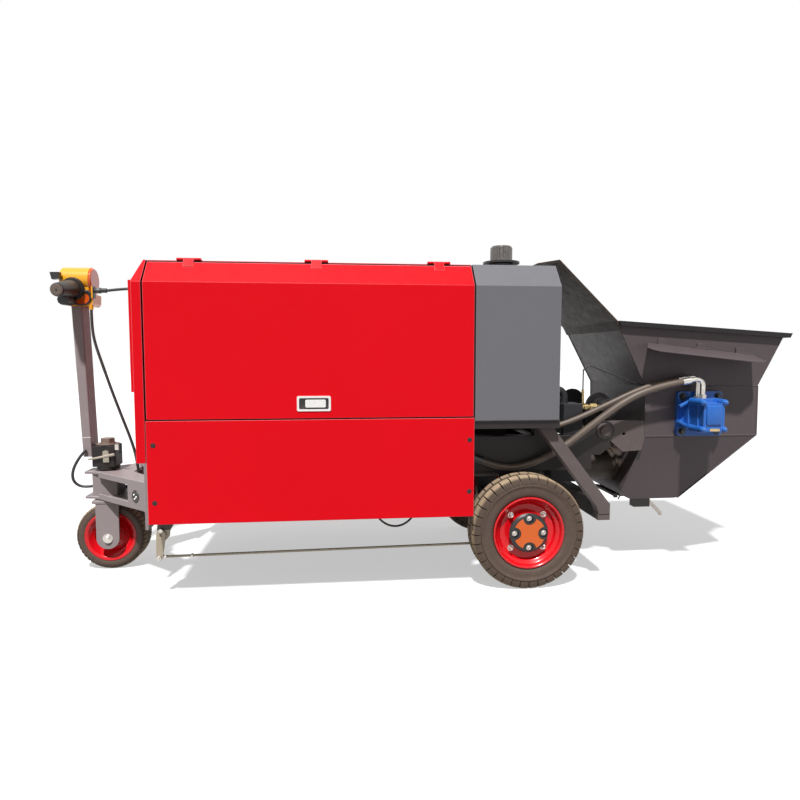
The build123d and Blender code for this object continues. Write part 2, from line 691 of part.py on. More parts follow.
# Orange lamp lens on the drum's end and the lens-shaped window in the control box
with BuildPart() as head_lens:
    with BuildSketch(Plane.YZ.offset(-1457)):
        with Locations((0, DRUM_Z)):
            Circle(DRUM_R - 3)
    extrude(amount=10)
    fillet(head_lens.edges().group_by(Axis.X)[-1], 7)
    with BuildSketch(Plane.XZ.offset(46)):
        with Locations((-1490, 1197)):
            Ellipse(36, 27)
        with Locations((-1519, 1237)):
            Circle(52, mode=Mode.SUBTRACT)
        with Locations((-1523, 1182)):
            Circle(15.5, mode=Mode.SUBTRACT)
    extrude(amount=4)
save(head_lens, "head_lens")

# Grips: a boot with a cone, a lower knob and a paddle lever
GRIP_ROOT = (-1519, -53, 1236)
GRIP_WAY = (0, -1, -0.135)
with BuildPart() as tiller_grip:
    with BuildSketch(Plane.XZ.offset(46)):
        with Locations((-1519, 1237)):
            Circle(38)
    extrude(amount=20)
    for start, length, low_r, high_r in ((0, 16, 48, 44), (16, 134, 38, 28), (150, 6, 28, 25)):
        for share, radius in ((start, low_r), (start + length, high_r)):
            centre = [p + share * w for p, w in zip(GRIP_ROOT, GRIP_WAY)]
            with BuildSketch(Plane(origin=centre, x_dir=(1, 0, 0), z_dir=GRIP_WAY)):
                Circle(radius)
        loft()
    with BuildSketch(Plane.XZ.offset(46)):
        with Locations((-1523, 1182)):
            Circle(15)
    extrude(amount=40)
    with BuildSketch(Plane.XZ.offset(86)):
        with Locations((-1523, 1182)):
            RegularPolygon(23, 10)
    extrude(amount=60)
    with BuildSketch(Plane.XZ.offset(62)):
        Polygon((-1597, 1301), (-1560, 1302), (-1560, 1274), (-1590, 1271), align=None)
    extrude(amount=26)
    with Locations((-1583, -54, 1288)):
        Box(12, 28, 16)
    # The boot's root follows the drum's round side
    with BuildSketch(Plane.YZ.offset(-1577)):
        with Locations((0, DRUM_Z)):
            Circle(DRUM_R)
    extrude(amount=120, mode=Mode.SUBTRACT)
save(tiller_grip, "tiller_grip")


# Hopper: an upright band over a drawn-in trough and under a flare, all of folded plate
def rim_z(x, drop):
    """Height of the sloping rim line, lowered by a drop, at a place along the machine."""
    return RIM_FRONT[1] + (x - RIM_FRONT[0]) * RIM_SLOPE - drop


def hopper_block(inset):
    """The hopper's body drawn in by an inset, with a rounded trough, up to its highest level."""
    with BuildPart() as block:
        for lower, upper in zip(HOPPER_LEVELS, HOPPER_LEVELS[1:]):
            for z, front, rear, half in (lower, upper):
                lift = inset if z == HOPPER_LEVELS[0][0] else 0
                with BuildSketch(Plane.XY.offset(z + lift)):
                    with Locations(((front + rear) / 2, 0)):
                        Rectangle(rear - front - 2 * inset, 2 * (half - inset))
            loft()
        fillet(block.edges().filter_by(Axis.Y).group_by(Axis.Z)[0], TROUGH_R - inset)
    return block.part


def above_rim(drop):
    """Side outline of all that is above the lowered rim line."""
    return [(600, rim_z(600, drop)), (1700, rim_z(1700, drop)), (1700, 1300), (600, 1300)]


def below_rim(drop):
    """Side outline of all that is more than a drop below the rim line."""
    return [(600, rim_z(600, drop)), (1700, rim_z(1700, drop)), (1700, 200), (600, 200)]


OUTER = hopper_block(0)
INNER = hopper_block(HOPPER_WALL)
CLEANOUT = (1005, 150, 200)
with BuildPart() as hopper:
    add(OUTER)
    with BuildSketch(Plane.XZ.offset(-400)):
        Polygon(*above_rim(0), align=None)
    extrude(amount=800, mode=Mode.SUBTRACT)
    add(INNER, mode=Mode.SUBTRACT)
    # Holes for the pumping cylinders, the valve's shaft, the outlet, the agitator and the clean-out
    with BuildSketch(Plane.YZ.offset(820)):
        with Locations((-PORT_Y, PORT_Z), (PORT_Y, PORT_Z)):
            Circle(PIPE_OUT_R)
        with Locations((0, VALVE_Z)):
            Circle(20.05)
    extrude(amount=160, mode=Mode.SUBTRACT)
    with BuildSketch(Plane.YZ.offset(1240)):
        with Locations((0, VALVE_Z)):
            Circle(PIPE_OUT_R + 0.08)
    extrude(amount=260, mode=Mode.SUBTRACT)
    with BuildSketch(Plane.XZ.offset(-400)):
        with Locations((AGITATOR_X, AGITATOR_Z)):
            Circle(SHAFT_R + 0.06)
    extrude(amount=800, mode=Mode.SUBTRACT)
    with Locations((CLEANOUT[0], 0, HOPPER_LEVELS[0][0])):
        Box(CLEANOUT[1], CLEANOUT[2], 40, mode=Mode.SUBTRACT)
save(hopper, "hopper")

# The rim's lips, folded out and down along both sides and the rear
with BuildPart() as hopper_rim:
    add(hopper_block(-LIP))
    with BuildSketch(Plane.XZ.offset(-400)):
        Polygon(*above_rim(0), align=None)
        Polygon(*below_rim(LIP), align=None)
        Polygon((600, 200), (RIM_FRONT[0] + 161, 780), (RIM_FRONT[0] + 4, RIM_FRONT[1] - 6),
                (RIM_FRONT[0] - 20, 1300), (600, 1300), align=None)
    extrude(amount=800, mode=Mode.SUBTRACT)
    with BuildPart(mode=Mode.PRIVATE) as under:
        add(hopper_block(4 - LIP))
        with BuildSketch(Plane.XZ.offset(-400)):
            Polygon(*above_rim(4), align=None)
        extrude(amount=800, mode=Mode.SUBTRACT)
    add(under.part, mode=Mode.SUBTRACT)
    add(OUTER, mode=Mode.SUBTRACT)
save(hopper_rim, "hopper_rim")

# The splash plate carries the front wall on, leaning out over the tank, and ends in a fold
with BuildPart() as splash_plate:
    lap = (RIM_FRONT[0] + 0.5085 * 40, RIM_FRONT[1] - 40)
    fold = (538, 1351)
    with BuildSketch(Plane.XZ.offset(-312)):
        Polygon(lap, RIM_FRONT, fold, (443, 1335), (442, 1330), (fold[0] - 3, fold[1] - 6),
                (RIM_FRONT[0] - 5, RIM_FRONT[1] - 3), (lap[0] - 4.5, lap[1] - 2), align=None)
    extrude(amount=624)
save(splash_plate, "splash_plate")


def front_x(z):
    """Where the hopper's front wall is at a height."""
    for (low, x_low, *_), (high, x_high, *_) in zip(HOPPER_LEVELS, HOPPER_LEVELS[1:]):
        if z <= high:
            break
    return x_low + (x_high - x_low) * (z - low) / (high - low)


# Fittings on the hopper: pivot ears and pins, the far bearing, the grate's and the door's lugs
with BuildPart() as hopper_ears:
    for _, s in SIDES:
        with BuildSketch(Plane.XZ.offset(-s * 280)):
            Polygon((PIVOT[0], PIVOT[1] + 42), (front_x(666), 666), (front_x(596), 596), (front_x(535), 535),
                    (846, 530), (PIVOT[0] + 20, 590), align=None)
            with Locations(PIVOT):
                Circle(42)
            with Locations((850, 608)):
                Circle(8, mode=Mode.SUBTRACT)
        extrude(amount=-s * 10)
        for start, length, radius in ((282, 18, PIVOT_R), (RAIL_OUT, 6, 34), (RAIL_OUT + 6, 10, 20)):
            with BuildSketch(Plane.XZ.offset(-s * start)):
                with Locations(PIVOT):
                    Circle(radius)
            extrude(amount=-s * length)
        with BuildSketch(Plane.XZ.offset(-s * 99)):
            Polygon((DOOR_HINGE[0] - 9, 300), (DOOR_HINGE[0] - 9, 281), (DOOR_HINGE[0] + 9, 281),
                    (DOOR_HINGE[0] + 9, 300), align=None)
            with Locations(DOOR_HINGE):
                Circle(4.06, mode=Mode.SUBTRACT)
        extrude(amount=-s * 8)
    with BuildSketch(Plane.XZ.offset(-HOPPER_SIDE)):
        with Locations((AGITATOR_X, AGITATOR_Z)):
            Circle(62)
    extrude(amount=-24)
    with BuildSketch(Plane.XZ.offset(-HOPPER_SIDE - 24)):
        with Locations((AGITATOR_X, AGITATOR_Z)):
            Circle(40)
    extrude(amount=-16)
save(hopper_ears, "hopper_ears")

# The wear plate inside the front wall, with the two ports, on its two collars
with BuildPart() as port_plate:
    with BuildSketch(Plane.YZ.offset(PORT_PLATE - 8)):
        with Locations((0, PORT_Z)):
            SlotOverall(2 * PORT_Y + 150, 150)
    extrude(amount=8)
    with BuildSketch(Plane.YZ.offset(850)):
        with Locations((-PORT_Y, PORT_Z), (PORT_Y, PORT_Z)):
            Circle(PIPE_OUT_R - 0.05)
    extrude(amount=PORT_PLATE - 855)
    add(OUTER, mode=Mode.INTERSECT)
    with BuildSketch(Plane.YZ.offset(850)):
        with Locations((-PORT_Y, PORT_Z), (PORT_Y, PORT_Z)):
            Circle(PIPE_IN_R)
    extrude(amount=120, mode=Mode.SUBTRACT)
save(port_plate, "port_plate")

# Water box between the hydraulic and the pumping cylinders, hung from the rails by two lugs
WATER_FRONT = 560
WATER_REAR = 690
with BuildPart() as water_box:
    with Locations(((WATER_FRONT + WATER_REAR) / 2, 0, 465)):
        Box(WATER_REAR - WATER_FRONT, 380, 170)
    with Locations(*[((WATER_FRONT + WATER_REAR) / 2, s * 241, 520) for _, s in SIDES]):
        Box(60, 102, 30)
save(water_box, "water_box")

# Hydraulic cylinders and, behind the water box, the pumping cylinders with flanges
with BuildPart() as main_cylinders:
    for start, end, radius in ((140, WATER_FRONT, 48), (528, WATER_FRONT, 56), (150, 176, 56)):
        with BuildSketch(Plane.YZ.offset(start)):
            with Locations((-PORT_Y, PORT_Z), (PORT_Y, PORT_Z)):
                Circle(radius)
        extrude(amount=end - start)
    for start, end, radius in ((WATER_REAR, 930, PIPE_OUT_R - 0.1), (WATER_REAR, 704, 79), (880, 892, 79)):
        with BuildSketch(Plane.YZ.offset(start)):
            with Locations((-PORT_Y, PORT_Z), (PORT_Y, PORT_Z)):
                Circle(radius)
        extrude(amount=end - start)
    add(OUTER, mode=Mode.SUBTRACT)
save(main_cylinders, "main_cylinders")

# The two swing cylinders, each trunnioned in a round-topped bracket on its ear
SWING_X = 790
SWING_Z = 722
with BuildPart() as swing_cylinders:
    for _, s in SIDES:
        with BuildSketch(Plane.XZ.offset(-s * 150)):
            with Locations((SWING_X, SWING_Z)):
                Circle(60)
            with Locations((SWING_X, (SWING_Z + 640) / 2)):
                Rectangle(120, SWING_Z - 640)
        extrude(amount=-s * 10)
        with Locations((SWING_X + 20, s * 215, 652)):
            Box(60, 130, 24)
        for start, length, radius in ((158, 120, 32), (170, 14, 38), (262, 18, 38)):
            with BuildSketch(Plane.XZ.offset(-s * start)):
                with Locations((SWING_X, SWING_Z)):
                    Circle(radius)
            extrude(amount=-s * length)
save(swing_cylinders, "swing_cylinders")

# Unions between the valve blocks and the swing cylinders
BLOCK_REAR = 664
with BuildPart() as swing_unions:
    for _, s in SIDES:
        for start, end, radius in ((BLOCK_REAR, 730, 9), (672, 690, 14), (704, 718, 14)):
            with BuildSketch(Plane.YZ.offset(start)):
                with Locations((s * 200, SWING_Z)):
                    Circle(radius)
            extrude(amount=end - start)
        with BuildSketch(Plane.YZ.offset(730)):
            with Locations((s * 200, SWING_Z)):
                RegularPolygon(15, 6)
        extrude(amount=SWING_X - 32 - 730)
    with BuildSketch(Plane.XY.offset(SWING_Z + 8)):
        with Locations((697, -200)):
            Circle(6)
    extrude(amount=68)
save(swing_unions, "swing_unions")

# Valve blocks on the rails, each with an elbow pipe to the tank
ELBOW_Z = 800
with BuildPart() as valve_blocks:
    for _, s in SIDES:
        with Locations(((580 + BLOCK_REAR) / 2, s * 225, (RAIL_TOP + 740) / 2)):
            Box(BLOCK_REAR - 580, 116, 740 - RAIL_TOP)
        with BuildLine() as elbow:
            FilletPolyline((606, s * 212, 736), (606, s * 212, ELBOW_Z), (TANK_REAR, s * 212, ELBOW_Z), radius=34)
        wire = elbow.wires()[0]
        with BuildSketch(Plane(origin=wire @ 0, z_dir=wire % 0)):
            Circle(16)
        sweep()
        for start in (TANK_REAR, 540):
            with BuildSketch(Plane.YZ.offset(start)):
                with Locations((s * 212, ELBOW_Z)):
                    Circle(23)
            extrude(amount=14)
save(valve_blocks, "valve_blocks")

# Outlet: a pipe through the rear wall that ends in a collar for a hose clamp
with BuildPart() as outlet_pipe:
    with BuildSketch(Plane.YZ.offset(OUTLET_START)):
        with Locations((0, VALVE_Z)):
            Circle(PIPE_OUT_R)
    extrude(amount=OUTLET_END - OUTLET_START - 2)
    with BuildSketch(Plane.YZ.offset(OUTLET_END - COLLAR)):
        with Locations((0, VALVE_Z)):
            Circle(COLLAR_R)
    extrude(amount=COLLAR)
    with BuildSketch(Plane.YZ.offset(OUTLET_START - 10)):
        with Locations((0, VALVE_Z)):
            Circle(PIPE_IN_R)
    extrude(amount=300, mode=Mode.SUBTRACT)
save(outlet_pipe, "outlet_pipe")

# S-valve: a pipe bent twice, a wear ring at its mouth, its shaft and the crank on the shaft
VALVE_MOUTH = PORT_PLATE + 5
LEAN = math.degrees(math.asin(PORT_Y / math.hypot(PORT_Y, VALVE_Z - PORT_Z)))
with BuildPart() as s_valve:
    with BuildLine() as bend:
        FilletPolyline((VALVE_MOUTH, -PORT_Y, PORT_Z), (1012, -PORT_Y, PORT_Z), (1170, 0, VALVE_Z),
                       (1266, 0, VALVE_Z), radius=90)
    wire = bend.wires()[0]
    with BuildSketch(Plane(origin=wire @ 0, z_dir=wire % 0)):
        Circle(PIPE_OUT_R - 5)
        Circle(PIPE_IN_R - 5, mode=Mode.SUBTRACT)
    sweep()
    with BuildSketch(Plane.YZ.offset(VALVE_MOUTH)):
        with Locations((-PORT_Y, PORT_Z)):
            Circle(PIPE_OUT_R)
            Circle(PIPE_IN_R - 5, mode=Mode.SUBTRACT)
    extrude(amount=24)
    # The shaft runs from the crank to the pipe's shoulder, which a gusset stiffens
    with BuildSketch(Plane.YZ.offset(742)):
        with Locations((0, VALVE_Z)):
            Circle(20)
    extrude(amount=360)
    with BuildSketch(Plane(origin=(772, 0, VALVE_Z), x_dir=(0, 1, 0), z_dir=(1, 0, 0))):
        with Locations(Location((0, 0, 0), (0, 0, -LEAN))):
            with Locations((0, 84)):
                RectangleRounded(46, 190, 22)
            with Locations((0, 0)):
                Circle(36)
    extrude(amount=24)
    # The bore stays clear of the shaft's end
    with BuildSketch(Plane(origin=wire @ 0, z_dir=wire % 0)):
        Circle(PIPE_IN_R - 5)
    sweep(path=wire, mode=Mode.SUBTRACT)
    # The casting is welded together from segments
    for x in (985, 1091, 1200):
        split(bisect_by=Plane.YZ.offset(x), keep=Keep.BOTH)
    print("valve swing each way, degrees", round(LEAN, 2))
save(s_valve, "s_valve")

# Agitator: a shaft with two pairs of twisted paddles, a quarter turn apart
with BuildPart() as agitator:
    with BuildSketch(Plane.XZ.offset(-HOPPER_SIDE + 1)):
        with Locations((AGITATOR_X, AGITATOR_Z)):
            Circle(SHAFT_R)
    extrude(amount=2 * HOPPER_SIDE - 2)
    for y, turn, twist in ((-205, 20, 30), (205, 110, -30)):
        with BuildSketch(Plane.XZ.offset(-y - 32)):
            with Locations((AGITATOR_X, AGITATOR_Z)):
                Circle(SHAFT_R + 12)
        extrude(amount=64)
        for k in range(2):
            with Locations(Location((AGITATOR_X, y, AGITATOR_Z), (0, turn + 180 * k, 0))):
                with Locations((60, 0, 0)):
                    Box(90, 34, 14)
                with Locations(Location((116, 0, 0), (twist, 0, 0))):
                    Box(58, 84, 10)
save(agitator, "agitator")

# Agitator motor on the left side: a square flange, a round body and a square port block
MOTOR_TOP = 768
with BuildPart() as agitator_motor:
    with BuildSketch(Plane.XZ.offset(HOPPER_SIDE)):
        with Locations((AGITATOR_X + 13, AGITATOR_Z)):
            RectangleRounded(205, 195, 14)
    extrude(amount=22)
    with BuildSketch(Plane.XZ.offset(HOPPER_SIDE + 22)):
        with Locations((AGITATOR_X, AGITATOR_Z)):
            RectangleRounded(124, 124, 26)
    extrude(amount=36)
    with BuildSketch(Plane.XZ.offset(HOPPER_SIDE + 58)):
        with Locations((AGITATOR_X - 3, AGITATOR_Z + 3)):
            RectangleRounded(104, 138, 16)
    extrude(amount=58)
    with BuildSketch(Plane.XZ.offset(HOPPER_SIDE + 116)):
        with Locations((AGITATOR_X - 3, AGITATOR_Z)):
            RectangleRounded(92, 112, 20)
    extrude(amount=34)
save(agitator_motor, "agitator_motor")

# Guard over the motor: a sloping plate with rounded outer corners on three tabs
VISOR_ROOT = (944, -HOPPER_SIDE - 10, 1004)
VISOR_ALONG = (1, 0, -0.106)
with BuildPart() as motor_visor:
    with BuildSketch(Plane(origin=VISOR_ROOT, x_dir=VISOR_ALONG, z_dir=(-0.106, 0.285, -1))):
        with BuildLine():
            Polyline((0, 0), (-50, 96), (-6, 134), (412, 134), (486, 100), (482, 0), close=True)
        make_face()
        fillet(vertices().sort_by(Axis.Y)[2:], 24)
    extrude(amount=4)
    for share in (60, 240, 420):
        top = VISOR_ROOT[2] + share * VISOR_ALONG[2]
        with Locations((VISOR_ROOT[0] + share, VISOR_ROOT[1] - 2, top + 10)):
            Box(34, 4, 28)
save(motor_visor, "motor_visor")

# Grate over the hopper: a bar that hinges at the front, a frame and long bars
with BuildPart() as hopper_grate:
    GRATE_REAR = 1532
    with BuildSketch(Plane.XZ.offset(-287)):
        with Locations(GRATE_HINGE):
            Circle(10)
    extrude(amount=574)
    with BuildSketch(Plane.XY.offset(GRATE_HINGE[1] - 8)):
        with Locations(((GRATE_HINGE[0] + GRATE_REAR) / 2, 0)):
            Rectangle(GRATE_REAR - GRATE_HINGE[0], 556)
            Rectangle(GRATE_REAR - GRATE_HINGE[0] - 30, 520, mode=Mode.SUBTRACT)
            with GridLocations(0, 58, 1, 8):
                Rectangle(GRATE_REAR - GRATE_HINGE[0] - 10, 10)
    extrude(amount=14)
save(hopper_grate, "hopper_grate")

# Clean-out door under the trough: a hinged plate, a latch block and its lever
with BuildPart() as cleanout_door:
    with BuildSketch(Plane.XY.offset(288)):
        with Locations((CLEANOUT[0] + 5, 0)):
            Rectangle(CLEANOUT[1] + 20, CLEANOUT[2] + 26)
        with Locations(((DOOR_HINGE[0] + 930) / 2, 0)):
            Rectangle(930 - DOOR_HINGE[0], 188)
    extrude(amount=10)
    for half, radius in ((94, 7), (106, 4)):
        with BuildSketch(Plane.XZ.offset(-half)):
            with Locations(DOOR_HINGE):
                Circle(radius)
        extrude(amount=2 * half)
    with Locations((1035, -90, 262)):
        Box(78, 44, 54)
    with BuildSketch(Plane.XZ.offset(84)):
        Polygon((1060, 268), (1070, 278), (1142, 206), (1146, 190), (1136, 186), (1130, 196), align=None)
    extrude(amount=12)
save(cleanout_door, "cleanout_door")

# Silver elbows and ferrules on the motor, and the bulkhead fitting where the lower hose starts
LOWER_ROUTE = [(213, -322, 507), (300, -324, 472), (405, -328, 484), (545, -336, 548), (680, -348, 658),
               (828, -362, 768), (955, -368, 818), (1062, -374, 838)]
UPPER_ROUTE = [(485, -284, 631), (560, -294, 650), (655, -302, 688), (775, -311, 745), (885, -319, 798),
               (985, -326, 831), (1066, -328, 846)]
BULKHEAD_R = 18
with BuildPart() as motor_fittings:
    for route, reach, seat in ((LOWER_ROUTE, 90, MOTOR_TOP), (UPPER_ROUTE, 92, AGITATOR_Z + 62)):
        end = Vector(*route[-1])
        onward = (end - Vector(*route[-2])).normalized()
        corner = end + onward * reach
        foot = Vector(corner.X, corner.Y, seat)
        with BuildLine() as bend:
            FilletPolyline(foot, corner, end, radius=26)
        wire = bend.wires()[0]
        with BuildSketch(Plane(origin=wire @ 0, z_dir=wire % 0)):
            Circle(10)
        sweep()
        with BuildSketch(Plane(origin=end, z_dir=onward)):
            Circle(15)
        extrude(amount=34)
        with BuildSketch(Plane(origin=foot, z_dir=(0, 0, 1))):
            RegularPolygon(16, 6)
        extrude(amount=16)
    start = Vector(*LOWER_ROUTE[0])
    with BuildSketch(Plane(origin=start, z_dir=start - Vector(*LOWER_ROUTE[1]))):
        Circle(BULKHEAD_R - 1)
    extrude(amount=44)
    with BuildSketch(Plane.YZ.offset(BODY_REAR)):
        with Locations((LOWER_ROUTE[0][1], LOWER_ROUTE[0][2] + 14)):
            Circle(BULKHEAD_R)
    extrude(amount=44)
save(motor_fittings, "motor_fittings")

# Hoses, cables and pipes, each along its own route
hose(LOWER_ROUTE, 29, "hose_lower")
hose(UPPER_ROUTE, 24, "hose_upper")
hose([(-1384.1, CABLE_Y, 1230), (-1328, CABLE_Y, 1237), (-1266, CABLE_Y, 1240), (-1206, CABLE_Y, 1239.5),
      (NOSE_PLATE - 3, CABLE_Y, NOSE_GLAND_Z)], 12, "head_cable")
hose([(-1452, CABLE_Y, 1147.4), (-1451, -44, 1075), (-1440, -48, 1005), (-1412, -50, 915), (-1376, -52, 800),
      (-1337, -52, 684), (-1302, -50, 582), (-1282, -45, 500), (-1273, CABLE_Y, 405)], 12, "drop_cable")
hose([(-1493, -COLUMN_Y / 2 - 7, 537), (-1505, -59, 522), (-1522, -66, 496), (-1540, -67, 462), (-1549, -64, 428),
      (-1546, -58, 399), (-1528, -52, 379), (-1500, -48, 372), (KING_X - 52, -45, 375)], 12, "foot_conduit")
hose([(-252, -200, BODY_BOTTOM), (-238, -200, 262), (-196, -200, 214), (-145, -201, 197), (-94, -201, 213),
      (-53, -200, 260), (-40, -200, BODY_BOTTOM)], 9, "belly_loop")
hose([(940, -268, 817), (850, -245, 853), (722, -200, 907), (697, -200, 886), (697, -200, SWING_Z + 76)], 6,
     "grease_pipe", [200, 20, 18])
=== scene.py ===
# %% [markdown]
# A walk-behind concrete pump on three wheels: a red housing, a grey oil tank and a dark hopper.
# Its main parts are already in place, in metres. Finishes and small pieces are made around them here,
# one step at a time, and the parts themselves are never moved.

import math

import bmesh
import bpy
from mathutils import Matrix, Vector


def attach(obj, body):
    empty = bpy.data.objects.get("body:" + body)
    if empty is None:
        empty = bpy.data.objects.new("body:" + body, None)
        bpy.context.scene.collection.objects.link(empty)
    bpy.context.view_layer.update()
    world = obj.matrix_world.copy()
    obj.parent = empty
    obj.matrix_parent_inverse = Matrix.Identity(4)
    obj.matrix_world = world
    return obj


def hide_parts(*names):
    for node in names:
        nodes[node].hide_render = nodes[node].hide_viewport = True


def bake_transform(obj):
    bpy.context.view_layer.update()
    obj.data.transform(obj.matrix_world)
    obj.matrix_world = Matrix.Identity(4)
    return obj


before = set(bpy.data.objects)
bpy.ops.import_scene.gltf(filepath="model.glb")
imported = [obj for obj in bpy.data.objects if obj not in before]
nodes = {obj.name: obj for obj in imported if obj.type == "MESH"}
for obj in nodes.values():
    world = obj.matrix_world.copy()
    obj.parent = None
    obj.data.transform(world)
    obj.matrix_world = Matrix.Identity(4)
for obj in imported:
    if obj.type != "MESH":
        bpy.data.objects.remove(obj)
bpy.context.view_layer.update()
SIDES = (("left", -1), ("right", 1))
MM = 0.001

# %% [markdown]
# The camera stands about 2.8 m from the machine's middle, on its left side, and 0.96 m high. Its lens
# and place were worked out from the straight edges of the housing.

# %% The camera
CAMERA_PLACE = Vector((-0.3871, -2.8098, 0.9554))
CAMERA_YAW = math.radians(5.75)
CAMERA_PITCH = math.radians(-4.32)
CAMERA_LENS = 27.29
SENSOR_WIDTH = 36.0

camera_data = bpy.data.cameras.new("camera")
camera_data.lens = CAMERA_LENS
camera_data.sensor_width = SENSOR_WIDTH
camera = bpy.data.objects.new("camera", camera_data)
bpy.context.scene.collection.objects.link(camera)
aim = Vector((math.sin(CAMERA_YAW) * math.cos(CAMERA_PITCH),
              math.cos(CAMERA_YAW) * math.cos(CAMERA_PITCH),
              math.sin(CAMERA_PITCH)))
camera.rotation_mode = "QUATERNION"
camera.rotation_quaternion = aim.to_track_quat("-Z", "Y")
camera.location = CAMERA_PLACE
bpy.context.scene.camera = camera
print("camera looks along", [round(part, 3) for part in aim])

# %% [markdown]
# Colours are written as they look on a screen, in hex, and one function turns them to the linear
# values that a shader mixes. One more function adds a node with its settings and its links.

# %% Colour and node helpers
def linear(hex_colour):
    """An sRGB hex colour as the linear values that a shader reads."""
    parts = [int(hex_colour[i:i + 2], 16) / 255 for i in (1, 3, 5)]
    return [p / 12.92 if p <= 0.04045 else ((p + 0.055) / 1.055) ** 2.4 for p in parts] + [1.0]


def set_up(tree, node, settings, links):
    """Sets a node's inputs or properties by name, and links its inputs to outputs."""
    for key, value in (settings or {}).items():
        if isinstance(key, int) or key in node.inputs:
            node.inputs[key].default_value = value
        else:
            setattr(node, key, value)
    for key, source in (links or {}).items():
        tree.links.new(source, node.inputs[key])
    return node


def add_node(tree, kind, settings=None, links=None):
    """Adds a node of a kind, with its settings and its links."""
    return set_up(tree, tree.nodes.new(kind), settings, links)


def new_material(name):
    """An empty material, its node tree, its shader and the object's own coordinates."""
    material = bpy.data.materials.new(name)
    material.use_nodes = True
    tree = material.node_tree
    shader = tree.nodes["Principled BSDF"]
    coords = add_node(tree, "ShaderNodeTexCoord").outputs["Object"]
    return material, tree, shader, coords


print("a mid grey is", round(linear("#808080")[0], 3), "of full light")

# %% [markdown]
# Every finish is built from the same few steps: a noise that varies over a known size, a mix of two
# colours, a number taken from one range to another, a small bump, and a sum on a number.

# %% Pattern helpers
def noise(tree, coords, size, detail, roughness=0.5):
    """A noise whose patches are about a size in metres across."""
    return add_node(tree, "ShaderNodeTexNoise", {"Scale": 1 / size, "Detail": detail, "Roughness": roughness},
                    {"Vector": coords}).outputs["Fac"]


def mixed(tree, share, first, second):
    """A mix of two colours, each a hex string or the output of another node."""
    settings = {}
    links = {"Fac": share}
    for key, colour in (("Color1", first), ("Color2", second)):
        if isinstance(colour, str):
            settings[key] = linear(colour)
        else:
            links[key] = colour
    return add_node(tree, "ShaderNodeMixRGB", settings, links).outputs["Color"]


def ranged(tree, value, from_low, from_high, to_low=0.0, to_high=1.0):
    """A number taken from one range to another, and held within it."""
    limits = {"From Min": from_low, "From Max": from_high, "To Min": to_low, "To Max": to_high}
    return add_node(tree, "ShaderNodeMapRange", limits, {"Value": value}).outputs["Result"]


def bumped(tree, height, strength, distance, normal=None):
    """The normal of a surface with a small relief, a distance in metres deep."""
    links = {"Height": height}
    if normal is not None:
        links["Normal"] = normal
    bump = add_node(tree, "ShaderNodeBump", {"Strength": strength, "Distance": distance}, links)
    return bump.outputs["Normal"]


def reckon(tree, operation, value, other=None):
    """A sum on one or two numbers. The second is a constant or the output of another node."""
    settings = {"operation": operation}
    links = {0: value}
    if isinstance(other, float):
        settings[1] = other
    elif other is not None:
        links[1] = other
    return add_node(tree, "ShaderNodeMath", settings, links).outputs[0]


# %% [markdown]
# Nearly every panel is mild steel with a sprayed or powder coat. The coat is a little uneven over a
# hand's width, has a fine orange peel and gathers dust, and its folded edges get a painted highlight.
# A Bevel node finds those edges: where its rounded normal leaves the flat one, there is an edge.

# %% Painted steel
PATCH = 0.30
SPECK = 0.035
PEEL = 0.004


def edge_share(tree, radius_mm, gain):
    """How near to an edge a place is, from 0 to 1, and the rounded normal."""
    rounded = add_node(tree, "ShaderNodeBevel", {"samples": 6, "Radius": radius_mm * MM}).outputs["Normal"]
    flat = add_node(tree, "ShaderNodeNewGeometry").outputs["Normal"]
    dot = add_node(tree, "ShaderNodeVectorMath", {"operation": "DOT_PRODUCT"}, {0: rounded, 1: flat})
    share = add_node(tree, "ShaderNodeMath",
                     {"operation": "MULTIPLY_ADD", 1: -gain, 2: gain, "use_clamp": True},
                     {0: dot.outputs["Value"]})
    return share.outputs[0], rounded


def painted_steel(name, paint, shade, dust, edge, roughness, coat=0.0, dust_share=0.25, edge_mm=1.6,
                  edge_gain=3.0, specular=0.3):
    """A coat of paint: two near colours in broad patches, dust in specks, painted highlights on folded edges.
    """
    material, tree, shader, coords = new_material(name)
    specks = noise(tree, coords, SPECK, 8.0, 0.7)
    body = mixed(tree, noise(tree, coords, PATCH, 3.0), paint, shade)
    dusted = mixed(tree, ranged(tree, specks, 0.52, 0.8, 0.0, dust_share), body, dust)
    near_edge, rounded = edge_share(tree, edge_mm, edge_gain)
    set_up(tree, shader,
           {"IOR": 1.5, "Specular IOR Level": specular, "Coat Weight": coat, "Coat Roughness": 0.12},
           # The edge colour mixed in near folds is a painted highlight.
           {"Base Color": mixed(tree, near_edge, dusted, edge),
            "Roughness": ranged(tree, specks, 0.3, 0.7, roughness - 0.06, roughness + 0.1),
            "Normal": bumped(tree, noise(tree, coords, PEEL, 1.0), 0.12, 0.0004, rounded)})
    return material
